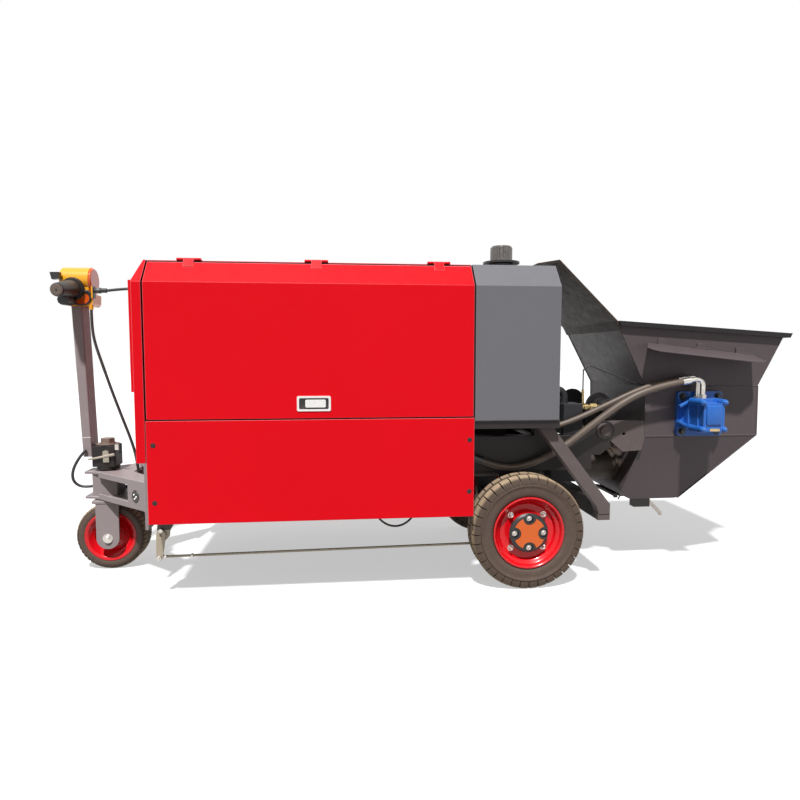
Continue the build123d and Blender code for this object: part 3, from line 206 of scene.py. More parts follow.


# %% [markdown]
# The housing has a gloss polyester powder coat, a strong red with pale painted highlights on its folds. The
# rims are wet sprayed enamel, deeper. The tank's satin powder coat is a neutral grey, with painted highlights
# nearly white on its long folds, and the steering frame and the tiller have a thin machine enamel in warm
# light grey.

# %% Red and grey paints
housing_red = painted_steel("gloss_powder_coat_red", "#e8091b", "#de0817", "#e02b33", "#ff9aa0", 0.4,
                            coat=0.02, dust_share=0.05, edge_mm=2.8, edge_gain=4.5, specular=0.12)
rim_red = painted_steel("gloss_enamel_rim_red", "#e6101d", "#d00c18", "#b83a38", "#ff6d70", 0.26, coat=0.3,
                        dust_share=0.15)
tank_grey = painted_steel("satin_powder_coat_grey", "#6f6e72", "#6b6a6e", "#87858a", "#c9c9d4", 0.44,
                          dust_share=0.08, edge_mm=2.6, edge_gain=3.0)
steering_grey = painted_steel("satin_machine_enamel_grey", "#9c9090", "#8e8282", "#b3a7a3", "#efe9ef", 0.45,
                              dust_share=0.25, edge_mm=2.2, edge_gain=3.0)
print("red and grey paints", [paint.name for paint in (housing_red, rim_red, tank_grey, steering_grey)])

# %% [markdown]
# The chassis paint is sprayed on, near black with a film of brown dust. On the ears by the hopper it
# is a tone lighter. Hopper paint is hard-wearing, dark and warm, with a pale painted highlight where
# sheets are folded or welded. The rolled rim of the mouth is worn to a dark polished line, and the
# splash plate is the same paint, brown from a painted reflection of the ground, with dust on it.

# %% Dark paints
chassis_black = painted_steel("satin_chassis_paint_dark", "#221e1f", "#1a1718", "#4e443d", "#6f6762", 0.5,
                              dust_share=0.3)
leg_grey = painted_steel("satin_frame_paint_grey", "#665b5a", "#584e4c", "#857a74", "#b5aba8", 0.48,
                         dust_share=0.3)
hopper_grey = painted_steel("satin_hopper_paint_grey", "#5a5052", "#4f4547", "#6d6158", "#a39797", 0.42,
                            dust_share=0.25, edge_gain=2.4)
rim_black = painted_steel("satin_rim_paint_black", "#201c1d", "#181516", "#4a413b", "#7c7474", 0.36,
                          dust_share=0.15)
# The splash plate's brown is a painted reflection of the ground.
splash_brown = painted_steel("hopper_paint_brown_from_painted_ground_reflection", "#4d3d33", "#3c312c", "#6d5543", "#8d7d72", 0.5,
                             dust_share=0.5, specular=0.15)
print("dark paints", [paint.name for paint in (chassis_black, leg_grey, hopper_grey, rim_black,
                                               splash_brown)])

# %% [markdown]
# The delivery pipe and the cylinders are in brown primer, greasy and dusty. The hydraulic motor has
# blue enamel over rough cast iron. The engine and the valve blocks are matt black.

# %% Paints on the machinery
pipe_brown = painted_steel("greasy_primer_brown", "#453b34", "#392f2a", "#66564a", "#857970", 0.5,
                           dust_share=0.35)
motor_blue = painted_steel("enamel_on_cast_iron_blue", "#2a6cc4", "#2361b4", "#5e93d8", "#8fbcf0", 0.34,
                           coat=0.3, dust_share=0.2)
engine_black = painted_steel("matt_engine_paint", "#2c2b2e", "#232225", "#4f4641", "#6c6660", 0.6)
print("machinery paints", [paint.name for paint in (pipe_brown, motor_blue, engine_black)])

# %% [markdown]
# Bare and plated metals keep the shader's metallic value at one. Zinc plate is pale with a soft grey
# mottle. Brass fittings are yellow. Machined steel is darker, and rougher where oil and dust dry on it.

# %% Metals
def bare_metal(name, bright, dull, grain_mm, rough_low, rough_high):
    """A metal with two near tones in small mottles, which also vary its gloss."""
    material, tree, shader, coords = new_material(name)
    mottle = noise(tree, coords, grain_mm * MM, 5.0)
    set_up(tree, shader, {"Metallic": 1.0},
           {"Base Color": mixed(tree, mottle, bright, dull),
            "Roughness": ranged(tree, mottle, 0.35, 0.65, rough_low, rough_high),
            "Normal": bumped(tree, mottle, 0.1, 0.0003)})
    return material


zinc_plate = bare_metal("zinc_plated_steel", "#e9e4dc", "#a59f98", 6, 0.25, 0.42)
brass = bare_metal("machined_brass", "#e6cf9a", "#a98d58", 7, 0.2, 0.4)
dark_steel = bare_metal("oiled_machined_steel", "#8d8885", "#5a5553", 12, 0.35, 0.55)
worn_steel = bare_metal("dusty_bare_steel", "#b9b0a2", "#8a8175", 10, 0.4, 0.6)
print("metals", [metal.name for metal in (zinc_plate, brass, dark_steel, worn_steel)])

# %% [markdown]
# Plastics and rubber have no coat of paint: their colour is in the material, and moulding leaves a
# fine even grain. The sprayed cross on the hubs and the painted screws are as even, so they are made
# the same way. The tyres' sidewalls are black rubber under brown dust.

# %% Plastics and rubber
def moulded(name, colour, shade, grain_mm, bump_share, roughness, coat=0.0):
    """Moulded plastic or rubber: one colour with a faint mottle and a fine grain."""
    material, tree, shader, coords = new_material(name)
    set_up(tree, shader, {"Roughness": roughness, "Coat Weight": coat},
           {"Base Color": mixed(tree, noise(tree, coords, 0.02, 6.0), colour, shade),
            "Normal": bumped(tree, noise(tree, coords, grain_mm * MM, 2.0), bump_share, 0.0005)})
    return material


grip_black = moulded("moulded_rubber_black", "#23211f", "#2f2c29", 1.5, 0.3, 0.5)
plastic_black = moulded("moulded_nylon_black", "#1b1b1c", "#272626", 2.0, 0.2, 0.42)
grip_end_grey = moulded("rubber_end_disc_grey", "#75685f", "#67594f", 1.5, 0.3, 0.55)
lens_orange = moulded("tinted_acrylic_orange", "#e8620f", "#d4520c", 5, 0.02, 0.12, coat=0.6)
cross_orange = moulded("sprayed_cross_orange", "#e0661a", "#d05b15", 2, 0.1, 0.4, coat=0.2)
side_rubber = moulded("sidewall_rubber_brown", "#43362e", "#5e4c40", 3, 0.35, 0.66)
screw_red = moulded("painted_over_screw_dark_red", "#2a1112", "#1f0c0d", 2, 0.1, 0.45)
print("plastics and rubber", [stuff.name for stuff in (grip_black, plastic_black, grip_end_grey, lens_orange,
                                                       cross_orange, side_rubber, screw_red)])

# %% [markdown]
# Some parts are one piece with two finishes, such as the chromed latch around its dark dish, or the
# filler's bright cap over its dark flange. A threshold on one axis splits them, and the mesh stays
# whole. A look is two near tones, how metallic it is, its roughness and its clear coat.

# %% Two finishes on one part
def split_finish(name, axis, threshold_mm, low, high, absolute=False):
    """One material with one look under a threshold along an axis and another above it."""
    material, tree, shader, coords = new_material(name)
    tree.nodes.remove(shader)
    value = add_node(tree, "ShaderNodeSeparateXYZ", {}, {"Vector": coords}).outputs[axis]
    if absolute:
        value = reckon(tree, "ABSOLUTE", value)
    above = reckon(tree, "GREATER_THAN", value, threshold_mm * MM)
    mottle = noise(tree, coords, 0.012, 5.0)
    grain = bumped(tree, mottle, 0.08, 0.0004)
    shaders = [add_node(tree, "ShaderNodeBsdfPrincipled",
                        {"Metallic": metallic, "Roughness": roughness, "Coat Weight": coat},
                        {"Base Color": mixed(tree, mottle, *tones), "Normal": grain}).outputs[0]
               for tones, metallic, roughness, coat in (low, high)]
    mix = add_node(tree, "ShaderNodeMixShader", {}, {0: above, 1: shaders[0], 2: shaders[1]})
    tree.links.new(mix.outputs[0], tree.nodes["Material Output"].inputs["Surface"])
    return material


BLACK_LOOK = (("#1d1c1c", "#2b2928"), 0.0, 0.4, 0.2)
CHROME_LOOK = (("#e8e6e4", "#cfccc9"), 1.0, 0.14, 0.0)
YELLOW_LOOK = (("#f7b31a", "#f2a512"), 0.0, 0.3, 0.5)
STEEL_LOOK = (("#bab3ab", "#8d857d"), 1.0, 0.35, 0.0)
DARK_PAINT_LOOK = (("#2a2523", "#3b3430"), 0.0, 0.5, 0.0)
TARNISHED_LOOK = (("#8f8b88", "#4c4845"), 1.0, 0.28, 0.0)
ZINC_LOOK = (("#e9e4dc", "#a59f98"), 1.0, 0.33, 0.0)
DUSTY_ROD_LOOK = (("#b8ac97", "#9d917e"), 0.3, 0.5, 0.0)
FLANGE_TOP_Z = 1361
FERRULES_END_X = 600
BRACKET_FOOT_Z = 267
DISH_Y = 488.3
CONNECTOR_X = -1439.6
LEVER_X = 1076
cap_finish = split_finish("dark_flange_and_tarnished_cap", "Z", FLANGE_TOP_Z, BLACK_LOOK, TARNISHED_LOOK)
# Below this split the ferrule is black as painted shade, where the hose runs into the dark.
fitting_finish = split_finish("ferrule_black_as_painted_shade_and_plated_elbows", "X", FERRULES_END_X, BLACK_LOOK, ZINC_LOOK)
linkage_finish = split_finish("dusty_rod_and_black_bracket", "Z", BRACKET_FOOT_Z, DUSTY_ROD_LOOK,
                              DARK_PAINT_LOOK)
latch_finish = split_finish("chromed_latch_with_dark_dish", "Y", DISH_Y, BLACK_LOOK, CHROME_LOOK,
                            absolute=True)
head_finish = split_finish("yellow_abs_with_black_connector", "X", CONNECTOR_X, YELLOW_LOOK, BLACK_LOOK)
lever_finish = split_finish("painted_door_with_bare_lever", "X", LEVER_X, DARK_PAINT_LOOK, STEEL_LOOK)
print("split at, in mm", FLANGE_TOP_Z, FERRULES_END_X, BRACKET_FOOT_Z, DISH_Y, CONNECTOR_X, LEVER_X)

# %% [markdown]
# The chassis is painted black in its middle as painted shade, and grey on the legs, where light falls.
# The tiller's foot is painted black as painted shade, with a rusty nut on top. Each is one steel part,
# so the paint changes by place.

# %% Paint that changes by place
def placed_paint(name, inner, outer, edge, limits):
    """Paint with one pair of tones, and another pair where every limit holds. A limit is an axis,
    whether the sign is dropped, the comparison and the place in millimetres."""
    material, tree, shader, coords = new_material(name)
    parts = add_node(tree, "ShaderNodeSeparateXYZ", {}, {"Vector": coords})
    mask = None
    for axis, unsigned, comparison, place in limits:
        value = reckon(tree, "ABSOLUTE", parts.outputs[axis]) if unsigned else parts.outputs[axis]
        step = reckon(tree, comparison, value, place * MM)
        mask = step if mask is None else reckon(tree, "MINIMUM", mask, step)
    mottle = noise(tree, coords, 0.05, 7.0)
    both = mixed(tree, mask, mixed(tree, mottle, *inner), mixed(tree, mottle, *outer))
    near_edge, rounded = edge_share(tree, 1.8, 2.4)
    set_up(tree, shader, {"Roughness": 0.5, "Specular IOR Level": 0.3},
           # The edge colour mixed in near folds is a painted highlight.
           {"Base Color": mixed(tree, near_edge, both, edge),
            "Normal": bumped(tree, mottle, 0.1, 0.0005, rounded)})
    return material


LEGS_Y = 402
LEGS_TOP_Z = 661
SOCKET_TOP_Z = 556
# The black in the chassis' middle is painted shade. The legs keep their grey.
frame_finish = placed_paint("chassis_paint_painted_shade_in_middle", ("#1e1a1b", "#2e2725"), ("#6b605f", "#574d4b"),
                            "#7d736e", [("Y", True, "GREATER_THAN", LEGS_Y),
                                        ("Z", False, "LESS_THAN", LEGS_TOP_Z)])
# The black below the nut is painted shade. The nut's rust is real.
foot_finish = placed_paint("socket_painted_shade_with_rusty_nut", ("#211c1d", "#2f2827"), ("#6f5240", "#8a7f78"),
                           "#766c68", [("Z", False, "GREATER_THAN", SOCKET_TOP_Z)])
print("the legs are grey past", LEGS_Y, "mm from the middle and below", LEGS_TOP_Z, "mm")

# %% [markdown]
# Each of the machine's main parts gets its finish here. Its mesh stays as it is.

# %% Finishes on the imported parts
FINISHES = {
    housing_red: ["nose_panel", "nose_louvre", "roof_panel", "left_door", "right_door", "left_lower_panel",
                  "right_lower_panel"],
    rim_red: ["front_rim", "left_rear_rim", "right_rear_rim"],
    tank_grey: ["oil_tank"],
    steering_grey: ["front_frame", "front_fork", "tiller_column"],
    # On the engine tray this near black stands for the shade under the housing, a painted shade.
    chassis_black: ["body_frame", "engine_tray", "rear_axle", "water_box", "swing_cylinders"],
    leg_grey: ["hopper_ears"],
    frame_finish: ["chassis_frame"],
    foot_finish: ["tiller_foot"],
    hopper_grey: ["hopper", "motor_visor", "hopper_grate"],
    rim_black: ["hopper_rim"],
    splash_brown: ["splash_plate"],
    motor_blue: ["agitator_motor"],
    engine_black: ["engine_block", "valve_blocks"],
    fitting_finish: ["motor_fittings"],
    brass: ["swing_unions"],
    pipe_brown: ["main_cylinders", "outlet_pipe"],
    dark_steel: ["s_valve", "agitator", "port_plate"],
    linkage_finish: ["brake_linkage"],
    worn_steel: ["steering_lock"],
    plastic_black: ["grease_pipe", "tiller_grip"],
    lens_orange: ["head_lens"],
    cap_finish: ["filler_cap"],
    latch_finish: ["left_latch", "right_latch"],
    head_finish: ["tiller_head"],
    lever_finish: ["cleanout_door"],
}
for finish, names in FINISHES.items():
    for name in names:
        nodes[name].data.materials.clear()
        nodes[name].data.materials.append(finish)
print(sum(len(names) for names in FINISHES.values()), "parts in", len(FINISHES), "finishes")

# %% [markdown]
# The hoses and cables come first among the new pieces, because their routes set how much room the
# machine takes. Each is one smooth NURBS line through the same points that its solid was made on,
# given here in millimetres. Rubber hoses carry a faint wrapped pattern along their length.

# %% Hose rubber
def hose_rubber(name, colour, shade):
    """Rubber cover with a cloth-wrapped pattern, its ridges a few millimetres apart."""
    material, tree, shader, coords = new_material(name)
    wrap = add_node(tree, "ShaderNodeTexWave",
                    {"Scale": 40.0, "Distortion": 1.5, "bands_direction": "DIAGONAL"}, {"Vector": coords})
    set_up(tree, shader, {"Roughness": 0.48},
           {"Base Color": mixed(tree, noise(tree, coords, 0.03, 5.0), colour, shade),
            "Normal": bumped(tree, wrap.outputs["Fac"], 0.08, 0.0004)})
    return material


hose_cover = hose_rubber("wrapped_hose_rubber", "#564a41", "#6a5b4f")
cable_black = moulded("cable_sheath_black", "#232020", "#322d2b", 2, 0.15, 0.45)
print("covers", hose_cover.name, cable_black.name)

# %% [markdown]
# The hoses between the valve blocks and the motor, and the loop under the housing, are fixed at both
# ends to the chassis. A hose or a cable is a curve with a round section, so it keeps one thickness
# all along, and its ends are closed.

# %% Cord curves
def metres(place):
    """A place in millimetres as metres."""
    return [c * MM for c in place]


def route_curve(name, route, thickness_mm):
    """A smooth curve along a route in millimetres, round in section."""
    curve = bpy.data.curves.new(name, "CURVE")
    curve.dimensions = "3D"
    spline = curve.splines.new("NURBS")
    spline.points.add(len(route) - 1)
    for point, place in zip(spline.points, route):
        point.co = (*metres(place), 1.0)
    spline.order_u = 3
    spline.use_endpoint_u = True
    curve.resolution_u = 12
    curve.bevel_depth = thickness_mm * MM / 2
    curve.bevel_resolution = 5
    curve.use_fill_caps = thickness_mm > 0
    return bpy.data.objects.new(name, curve)


FIXED_CORDS = [
    ("hose_lower_rubber", "hose_lower", 29, 0.954, hose_cover,
     [(213, -322, 507), (300, -324, 472), (405, -328, 484), (545, -336, 548), (680, -348, 658),
      (828, -362, 768), (955, -368, 818), (1062, -374, 838)]),
    ("hose_upper_rubber", "hose_upper", 24, 0.624, hose_cover,
     [(485, -284, 631), (560, -294, 650), (655, -302, 688), (775, -311, 745), (885, -319, 798),
      (985, -326, 831), (1066, -328, 846)]),
    ("belly_cable", "belly_loop", 9, 0.345, cable_black,
     [(-252, -200, 318), (-238, -200, 262), (-196, -200, 214), (-145, -201, 197), (-94, -201, 213),
      (-53, -200, 260), (-40, -200, 318)]),
]
for name, node, thickness, length, finish, route in FIXED_CORDS:
    cord = route_curve(name, route, thickness)
    bpy.context.scene.collection.objects.link(cord)
    cord.data.materials.append(finish)
    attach(cord, "chassis")
    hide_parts(node)
    print(name, length, "m through", len(route), "points")

# %% [markdown]
# Three cables cross the steering joint. Each is a mesh tube made from its curve, and takes the place
# of its part.

# %% Cables across the steering joint
def blended_cable(name, node, thickness, route, finish):
    """A cable as a mesh tube along a route, in place of its part."""
    line = bpy.data.meshes.new_from_object(route_curve(name + "_line", route, 0))
    tube = bpy.data.meshes.new_from_object(route_curve(name + "_tube", route, thickness))
    tube.materials.clear()
    tube.materials.append(finish)
    cable = bpy.data.objects.new(name, tube)
    bpy.context.scene.collection.objects.link(cable)
    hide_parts(node)
    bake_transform(cable)


HEAD_ROUTE = [(-1384.1, -40, 1230), (-1328, -40, 1237), (-1266, -40, 1240), (-1206, -40, 1239.5),
              (-1150, -40, 1237)]
DROP_ROUTE = [(-1452, -40, 1147.4), (-1451, -44, 1075), (-1440, -48, 1005), (-1412, -50, 915),
              (-1376, -52, 800), (-1337, -52, 684), (-1302, -50, 582), (-1282, -45, 500), (-1273, -40, 405)]
FOOT_ROUTE = [(-1493, -49, 537), (-1505, -59, 522), (-1522, -66, 496), (-1540, -67, 462), (-1549, -64, 428),
              (-1546, -58, 399), (-1528, -52, 379), (-1500, -48, 372), (-1470, -45, 375)]
blended_cable("head_cable_sheath", "head_cable", 12, HEAD_ROUTE, cable_black)
blended_cable("drop_cable_sheath", "drop_cable", 12, DROP_ROUTE, cable_black)
blended_cable("foot_conduit_sheath", "foot_conduit", 12, FOOT_ROUTE, cable_black)

# %% [markdown]
# New pieces are drawn in millimetres, as on a workshop drawing, and scaled to metres at the end.
# Points that meet are merged, faces turned outwards, and edges sharper than 35 degrees kept crisp.

# %% A finished piece
MERGE = 0.01


def make_piece(shape, name, body, finish, sharp=35):
    """Turns a shape drawn in millimetres into a finished piece that rides on a body."""
    bmesh.ops.remove_doubles(shape, verts=shape.verts, dist=MERGE)
    bmesh.ops.recalc_face_normals(shape, faces=shape.faces)
    bmesh.ops.scale(shape, vec=(MM, MM, MM), verts=shape.verts)
    mesh = bpy.data.meshes.new(name)
    shape.to_mesh(mesh)
    shape.free()
    mesh.materials.append(finish)
    for polygon in mesh.polygons:
        polygon.use_smooth = True
    mesh.set_sharp_from_angle(angle=math.radians(sharp))
    piece = bpy.data.objects.new(name, mesh)
    bpy.context.scene.collection.objects.link(piece)
    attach(piece, body)
    print(name, len(mesh.polygons), "faces")
    return piece


# %% [markdown]
# Wheels and caps are round, so an outline is spun about the axle. Rods, nuts and bolt heads start from
# a cone, and boxes from a cube with its edges bevelled, because a machined edge is never quite sharp.

# %% Shapes to start from
def spun_outline(shape, outline, closed, place, steps=72):
    """Spins an outline of radius and offset about the Y axis, at a place."""
    first = [shape.verts.new((r, y, 0)) for r, y in outline]
    pairs = list(zip(first, first[1:])) + ([(first[-1], first[0])] if closed else [])
    edges = [shape.edges.new(pair) for pair in pairs]
    before = set(shape.verts) - set(first)
    bmesh.ops.spin(shape, geom=first + edges, cent=(0, 0, 0), axis=(0, 1, 0), angle=math.tau, steps=steps,
                   use_merge=True)
    made = [v for v in shape.verts if v not in before]
    bmesh.ops.translate(shape, vec=place, verts=made)


def turned_to(axis):
    """A turn that takes the Z axis to another direction."""
    return Vector((0, 0, 1)).rotation_difference(Vector(axis)).to_matrix().to_4x4()


def rod(shape, start, end, radius, end_radius=None, segments=16):
    """A round rod or cone from one point to another."""
    start = Vector(start)
    end = Vector(end)
    matrix = Matrix.Translation((start + end) / 2) @ turned_to(end - start)
    bmesh.ops.create_cone(shape, cap_ends=True, segments=segments, radius1=radius,
                          radius2=radius if end_radius is None else end_radius,
                          depth=(end - start).length, matrix=matrix)


def bolt(shape, seat, axis, across, high, washer=True):
    """A hexagon bolt head with a chamfered top, on a washer if asked for."""
    seat = Vector(seat)
    axis = Vector(axis).normalized()
    washer_top = seat + axis * high * 0.2
    chamfer = seat + axis * high * 0.82
    if washer:
        rod(shape, seat, washer_top, across * 0.62, segments=24)
    rod(shape, seat, chamfer, across * 0.5, segments=6)
    rod(shape, chamfer, seat + axis * high, across * 0.5, across * 0.4, segments=6)


def block(shape, centre, size, bevel=0.0, tilt=None):
    """A box with rounded edges, tilted by a matrix if one is given."""
    matrix = Matrix.Translation(centre) @ (tilt or Matrix.Identity(4)) @ Matrix.Diagonal((*size, 1.0))
    made = bmesh.ops.create_cube(shape, size=1.0, matrix=matrix)
    if bevel:
        edges = list({e for v in made["verts"] for e in v.link_edges})
        bmesh.ops.bevel(shape, geom=edges, offset=bevel, segments=2, profile=0.5, affect="EDGES",
                        material=-1)


# %% [markdown]
# The tread blocks are pale on the worn crown and dark on their sides. The distance from the axle
# tells them apart, so the tread's colour reads the object's coordinates from the wheel's centre.

# %% Tread colour
CROWN_BAND = 9


def tread_material(name, centre_mm, crown_r):
    """Dusty rubber that turns from dark brown on the lugs' sides to sand on the crown."""
    material, tree, shader, coords = new_material(name)
    local = add_node(tree, "ShaderNodeVectorMath", {"operation": "SUBTRACT", 1: metres(centre_mm)},
                     {0: coords})
    flat = add_node(tree, "ShaderNodeVectorMath", {"operation": "MULTIPLY", 1: (1.0, 0.0, 1.0)},
                    {0: local.outputs["Vector"]})
    reach = add_node(tree, "ShaderNodeVectorMath", {"operation": "LENGTH"}, {0: flat.outputs["Vector"]})
    crown = ranged(tree, reach.outputs["Value"], (crown_r - CROWN_BAND) * MM, (crown_r - 1) * MM)
    dust = noise(tree, coords, 0.018, 7.0)
    side = mixed(tree, dust, "#42352d", "#5f4e41")
    sand = mixed(tree, dust, "#c2a98a", "#8f7a64")
    set_up(tree, shader, {"Roughness": 0.8},
           {"Base Color": mixed(tree, crown, side, sand), "Normal": bumped(tree, dust, 0.4, 0.0006)})
    return material


print("the crown is pale over the last", CROWN_BAND, "mm")

# %% [markdown]
# The rear tyres are 4.00-10 size, with blocks at both shoulders and a rib in the middle. The carcass
# is spun first, a little smaller than the tyre, and the blocks bring it to its full size. Each block
# is a short spin of its section, and there is half a block's stagger from side to side. An outline is
# a list of radius and distance from the tyre's middle.

# %% Tyres
REAR_X = 374
REAR_Y = 413
REAR_R = 233
REAR_LUGS = 36
REAR_LUG_SHARE = 0.87
CARCASS = [(143, 43), (150, 52), (163, 57), (178, 58), (189, 57.5), (192, 60.5), (197, 60.5), (199, 56.5),
           (211, 54), (220, 44), (223, 30), (223, 9), (231, 7)]
LUG_SECTION = [(200, 57.5), (214, 58.5), (226, 54), (233, 43), (233, 14), (220, 14), (219, 38), (208, 49),
               (200, 53)]
FRONT_CENTRE = (-1401, 0, 149)
FRONT_LUGS = 44
FRONT_LUG_SHARE = 0.8
FRONT_CARCASS = [(99, 44), (104, 50), (112, 55.5), (125, 58), (135, 55), (142, 47), (145, 36), (145, 6),
                 (148, 4)]
FRONT_LUG = [(138, 54.5), (144, 50), (149, 40), (149, 16), (143, 16), (142, 38), (136, 50)]
TYRE_STEPS = 108


def add_tyre(node, body, centre, carcass, lug, count, share):
    """A spun carcass and two rings of tread blocks, staggered from side to side."""
    shape = bmesh.new()
    outline = carcass + [(r, -y) for r, y in reversed(carcass)]
    spun_outline(shape, outline, True, centre, steps=TYRE_STEPS)
    tyre = make_piece(shape, node + "_carcass", body, side_rubber, sharp=50)
    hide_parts(node)
    tread = bmesh.new()
    pitch = math.tau / count
    for side in (-1, 1):
        for k in range(count):
            turn = Matrix.Rotation(pitch * (k + (0.5 if side > 0 else 0)), 4, "Y")
            corners = [tread.verts.new(turn @ Vector((r, side * y, 0))) for r, y in lug]
            face = tread.faces.new(corners)
            bmesh.ops.spin(tread, geom=[face, *face.edges, *face.verts], cent=(0, 0, 0), axis=(0, 1, 0),
                           angle=pitch * share, steps=3)
    bmesh.ops.translate(tread, vec=centre, verts=tread.verts)
    finish = tread_material(node + "_tread_rubber", centre, max(r for r, y in lug))
    make_piece(tread, node + "_tread", body, finish)


for side, s in SIDES:
    add_tyre(f"{side}_rear_tyre", f"{side}_rear_wheel", (REAR_X, s * REAR_Y, REAR_R), CARCASS, LUG_SECTION,
             REAR_LUGS, REAR_LUG_SHARE)
add_tyre("front_tyre", "front_wheel", FRONT_CENTRE, FRONT_CARCASS, FRONT_LUG, FRONT_LUGS, FRONT_LUG_SHARE)

# %% [markdown]
# The rims are pressed and rolled from sheet steel: a rolled lip over the tyre's bead, a barrel that
# steps down, and a flat web with the hub through it. Many steps in the spin keep the lip round.

# %% Rims
REAR_RIM = [(25.06, -44), (60, -44), (60, 12), (104, 12), (118, 2), (118, -33), (134, -41), (137, -52),
            (142, -54), (147, -53), (142, -47), (142, 47), (147, 53), (146, 56.5), (141, 57), (137, 54),
            (133, 44), (129, 40), (121, 36), (118, 33), (117, 27), (112, 21.5), (104, 20), (60, 20), (60, 44),
            (25.06, 44)]
FRONT_RIM_HALF = [(15.06, 52), (36, 52), (36, 4), (60, 4), (70, 8), (74, 14), (75, 34), (88, 42), (93, 51),
                  (99, 56), (108, 57.5), (111, 55), (98, 50)]
FRONT_RIM = FRONT_RIM_HALF + [(r, -y) for r, y in reversed(FRONT_RIM_HALF)]


def add_rim(node, body, centre, outline, steps):
    """A pressed rim, spun in one piece."""
    shape = bmesh.new()
    spun_outline(shape, outline, True, centre, steps=steps)
    rim = make_piece(shape, node + "_pressed", body, rim_red)
    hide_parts(node)


for side, s in SIDES:
    add_rim(f"{side}_rear_rim", f"{side}_rear_wheel", (REAR_X, s * REAR_Y, REAR_R),
            [(r, s * y) for r, y in REAR_RIM], 108)
add_rim("front_rim", "front_wheel", FRONT_CENTRE, FRONT_RIM, 96)

# %% [markdown]
# Some castings have round pockets. A cutter in the pocket's shape, taken away with a Boolean modifier
# that is applied at once, leaves the pocket, and the cutter is then deleted.

# %% Pockets
def cut_away(shape, cutter, name):
    """Takes a cutter's volume from a shape, and returns what is left as a new shape."""
    objects = []
    for part, label in ((shape, name + "_body"), (cutter, name + "_cutter")):
        bmesh.ops.remove_doubles(part, verts=part.verts, dist=MERGE)
        bmesh.ops.recalc_face_normals(part, faces=part.faces)
        mesh = bpy.data.meshes.new(label)
        part.to_mesh(mesh)
        part.free()
        objects.append(bpy.data.objects.new(label, mesh))
        bpy.context.scene.collection.objects.link(objects[-1])
    boolean = objects[0].modifiers.new("cut", "BOOLEAN")
    boolean.operation = "DIFFERENCE"
    boolean.solver = "EXACT"
    boolean.object = objects[1]
    bpy.context.view_layer.update()
    evaluated = objects[0].evaluated_get(bpy.context.evaluated_depsgraph_get())
    left = bmesh.new()
    left.from_mesh(evaluated.to_mesh())
    evaluated.to_mesh_clear()
    for thing in objects:
        mesh = thing.data
        bpy.data.objects.remove(thing)
        bpy.data.meshes.remove(mesh)
    print(name, "cut to", len(left.faces), "faces")
    return left


# %% [markdown]
# Each rear hub has a cast black cap with four deep round seats for its bolts. The seats are a quarter
# turn apart. Distances are from the axle, and depths outward from the tyre's middle.

# %% Hub caps
CAP_BOLT_R = 60
SEAT_R = 17
SEAT_FLOOR = 51
PAST_CAP = 80
CAP_OUTLINE = [(0, 44), (79, 44), (81, 48), (76, 54), (66, 58), (0, 60)]
EIGHTHS = [Vector((math.cos(k * math.pi / 4), 0, math.sin(k * math.pi / 4))) for k in range(8)]
QUARTERS = EIGHTHS[::2]
DIAGONALS = EIGHTHS[1::2]


def add_hub_cap(side, s, centre, out):
    """A cast cap with four round seats."""
    cap = bmesh.new()
    spun_outline(cap, [(r, s * y) for r, y in CAP_OUTLINE], False, centre, steps=64)
    seats = bmesh.new()
    for way in QUARTERS:
        foot = centre + way * CAP_BOLT_R
        rod(seats, foot + out * SEAT_FLOOR, foot + out * PAST_CAP, SEAT_R, segments=32)
    cap = make_piece(cut_away(cap, seats, side + "_cap"), f"{side}_hub_cap_cast", f"{side}_rear_wheel",
                     plastic_black)
    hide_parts(f"{side}_hub_cap")


# %% [markdown]
# An orange cross stands on each cap, between the seats. It is a disc with four round scoops cut out of
# its rim, so its arms widen towards their ends.

# %% Hub crosses
CROSS_R = 65
CROSS_BACK = 57
CROSS_FACE = 62.5
SCOOP_R = 27
SCOOP_PLACE = 62


def add_cross(side, centre, out):
    """A disc with four scoops."""
    cross = bmesh.new()
    rod(cross, centre + out * CROSS_BACK, centre + out * CROSS_FACE, CROSS_R, segments=64)
    scoops = bmesh.new()
    for way in QUARTERS:
        foot = centre + way * SCOOP_PLACE
        rod(scoops, foot + out * 40, foot + out * PAST_CAP, SCOOP_R, segments=48)
    make_piece(cut_away(cross, scoops, side + "_cross"), f"{side}_hub_cross", f"{side}_rear_wheel",
               cross_orange)


# %% [markdown]
# Four bolts hold each cap in its seats, and four nuts on studs hold the rim to the hub. All are zinc
# plated. The end of each stud is a short cone.

# %% Wheel nuts
NUT_R = 96
WEB_FACE = 20


def add_nuts(side, centre, out):
    """The cap's bolts and the wheel's nuts, as one piece."""
    fixings = bmesh.new()
    for way in QUARTERS:
        seat = centre + way * CAP_BOLT_R + out * SEAT_FLOOR
        bolt(fixings, seat, out, 17, 9)
        rod(fixings, seat + out * 8, seat + out * 12, 6, 4, segments=20)
    for way in DIAGONALS:
        seat = centre + way * NUT_R + out * WEB_FACE
        bolt(fixings, seat, out, 20, 15)
        rod(fixings, seat + out * 14, seat + out * 22, 6.5, 4.5, segments=20)
    make_piece(fixings, f"{side}_wheel_nuts", f"{side}_rear_wheel", zinc_plate)


for side, s in SIDES:
    hub = Vector((REAR_X, s * REAR_Y, REAR_R))
    outward = Vector((0, s, 0))
    add_hub_cap(side, s, hub, outward)
    add_cross(side, hub, outward)
    add_nuts(side, hub, outward)

# %% [markdown]
# The front axle is a bolt right through the fork, with a nut and washer outside each leg. Its outline
# is spun, because at this size the nut's corners are rounded by wear.

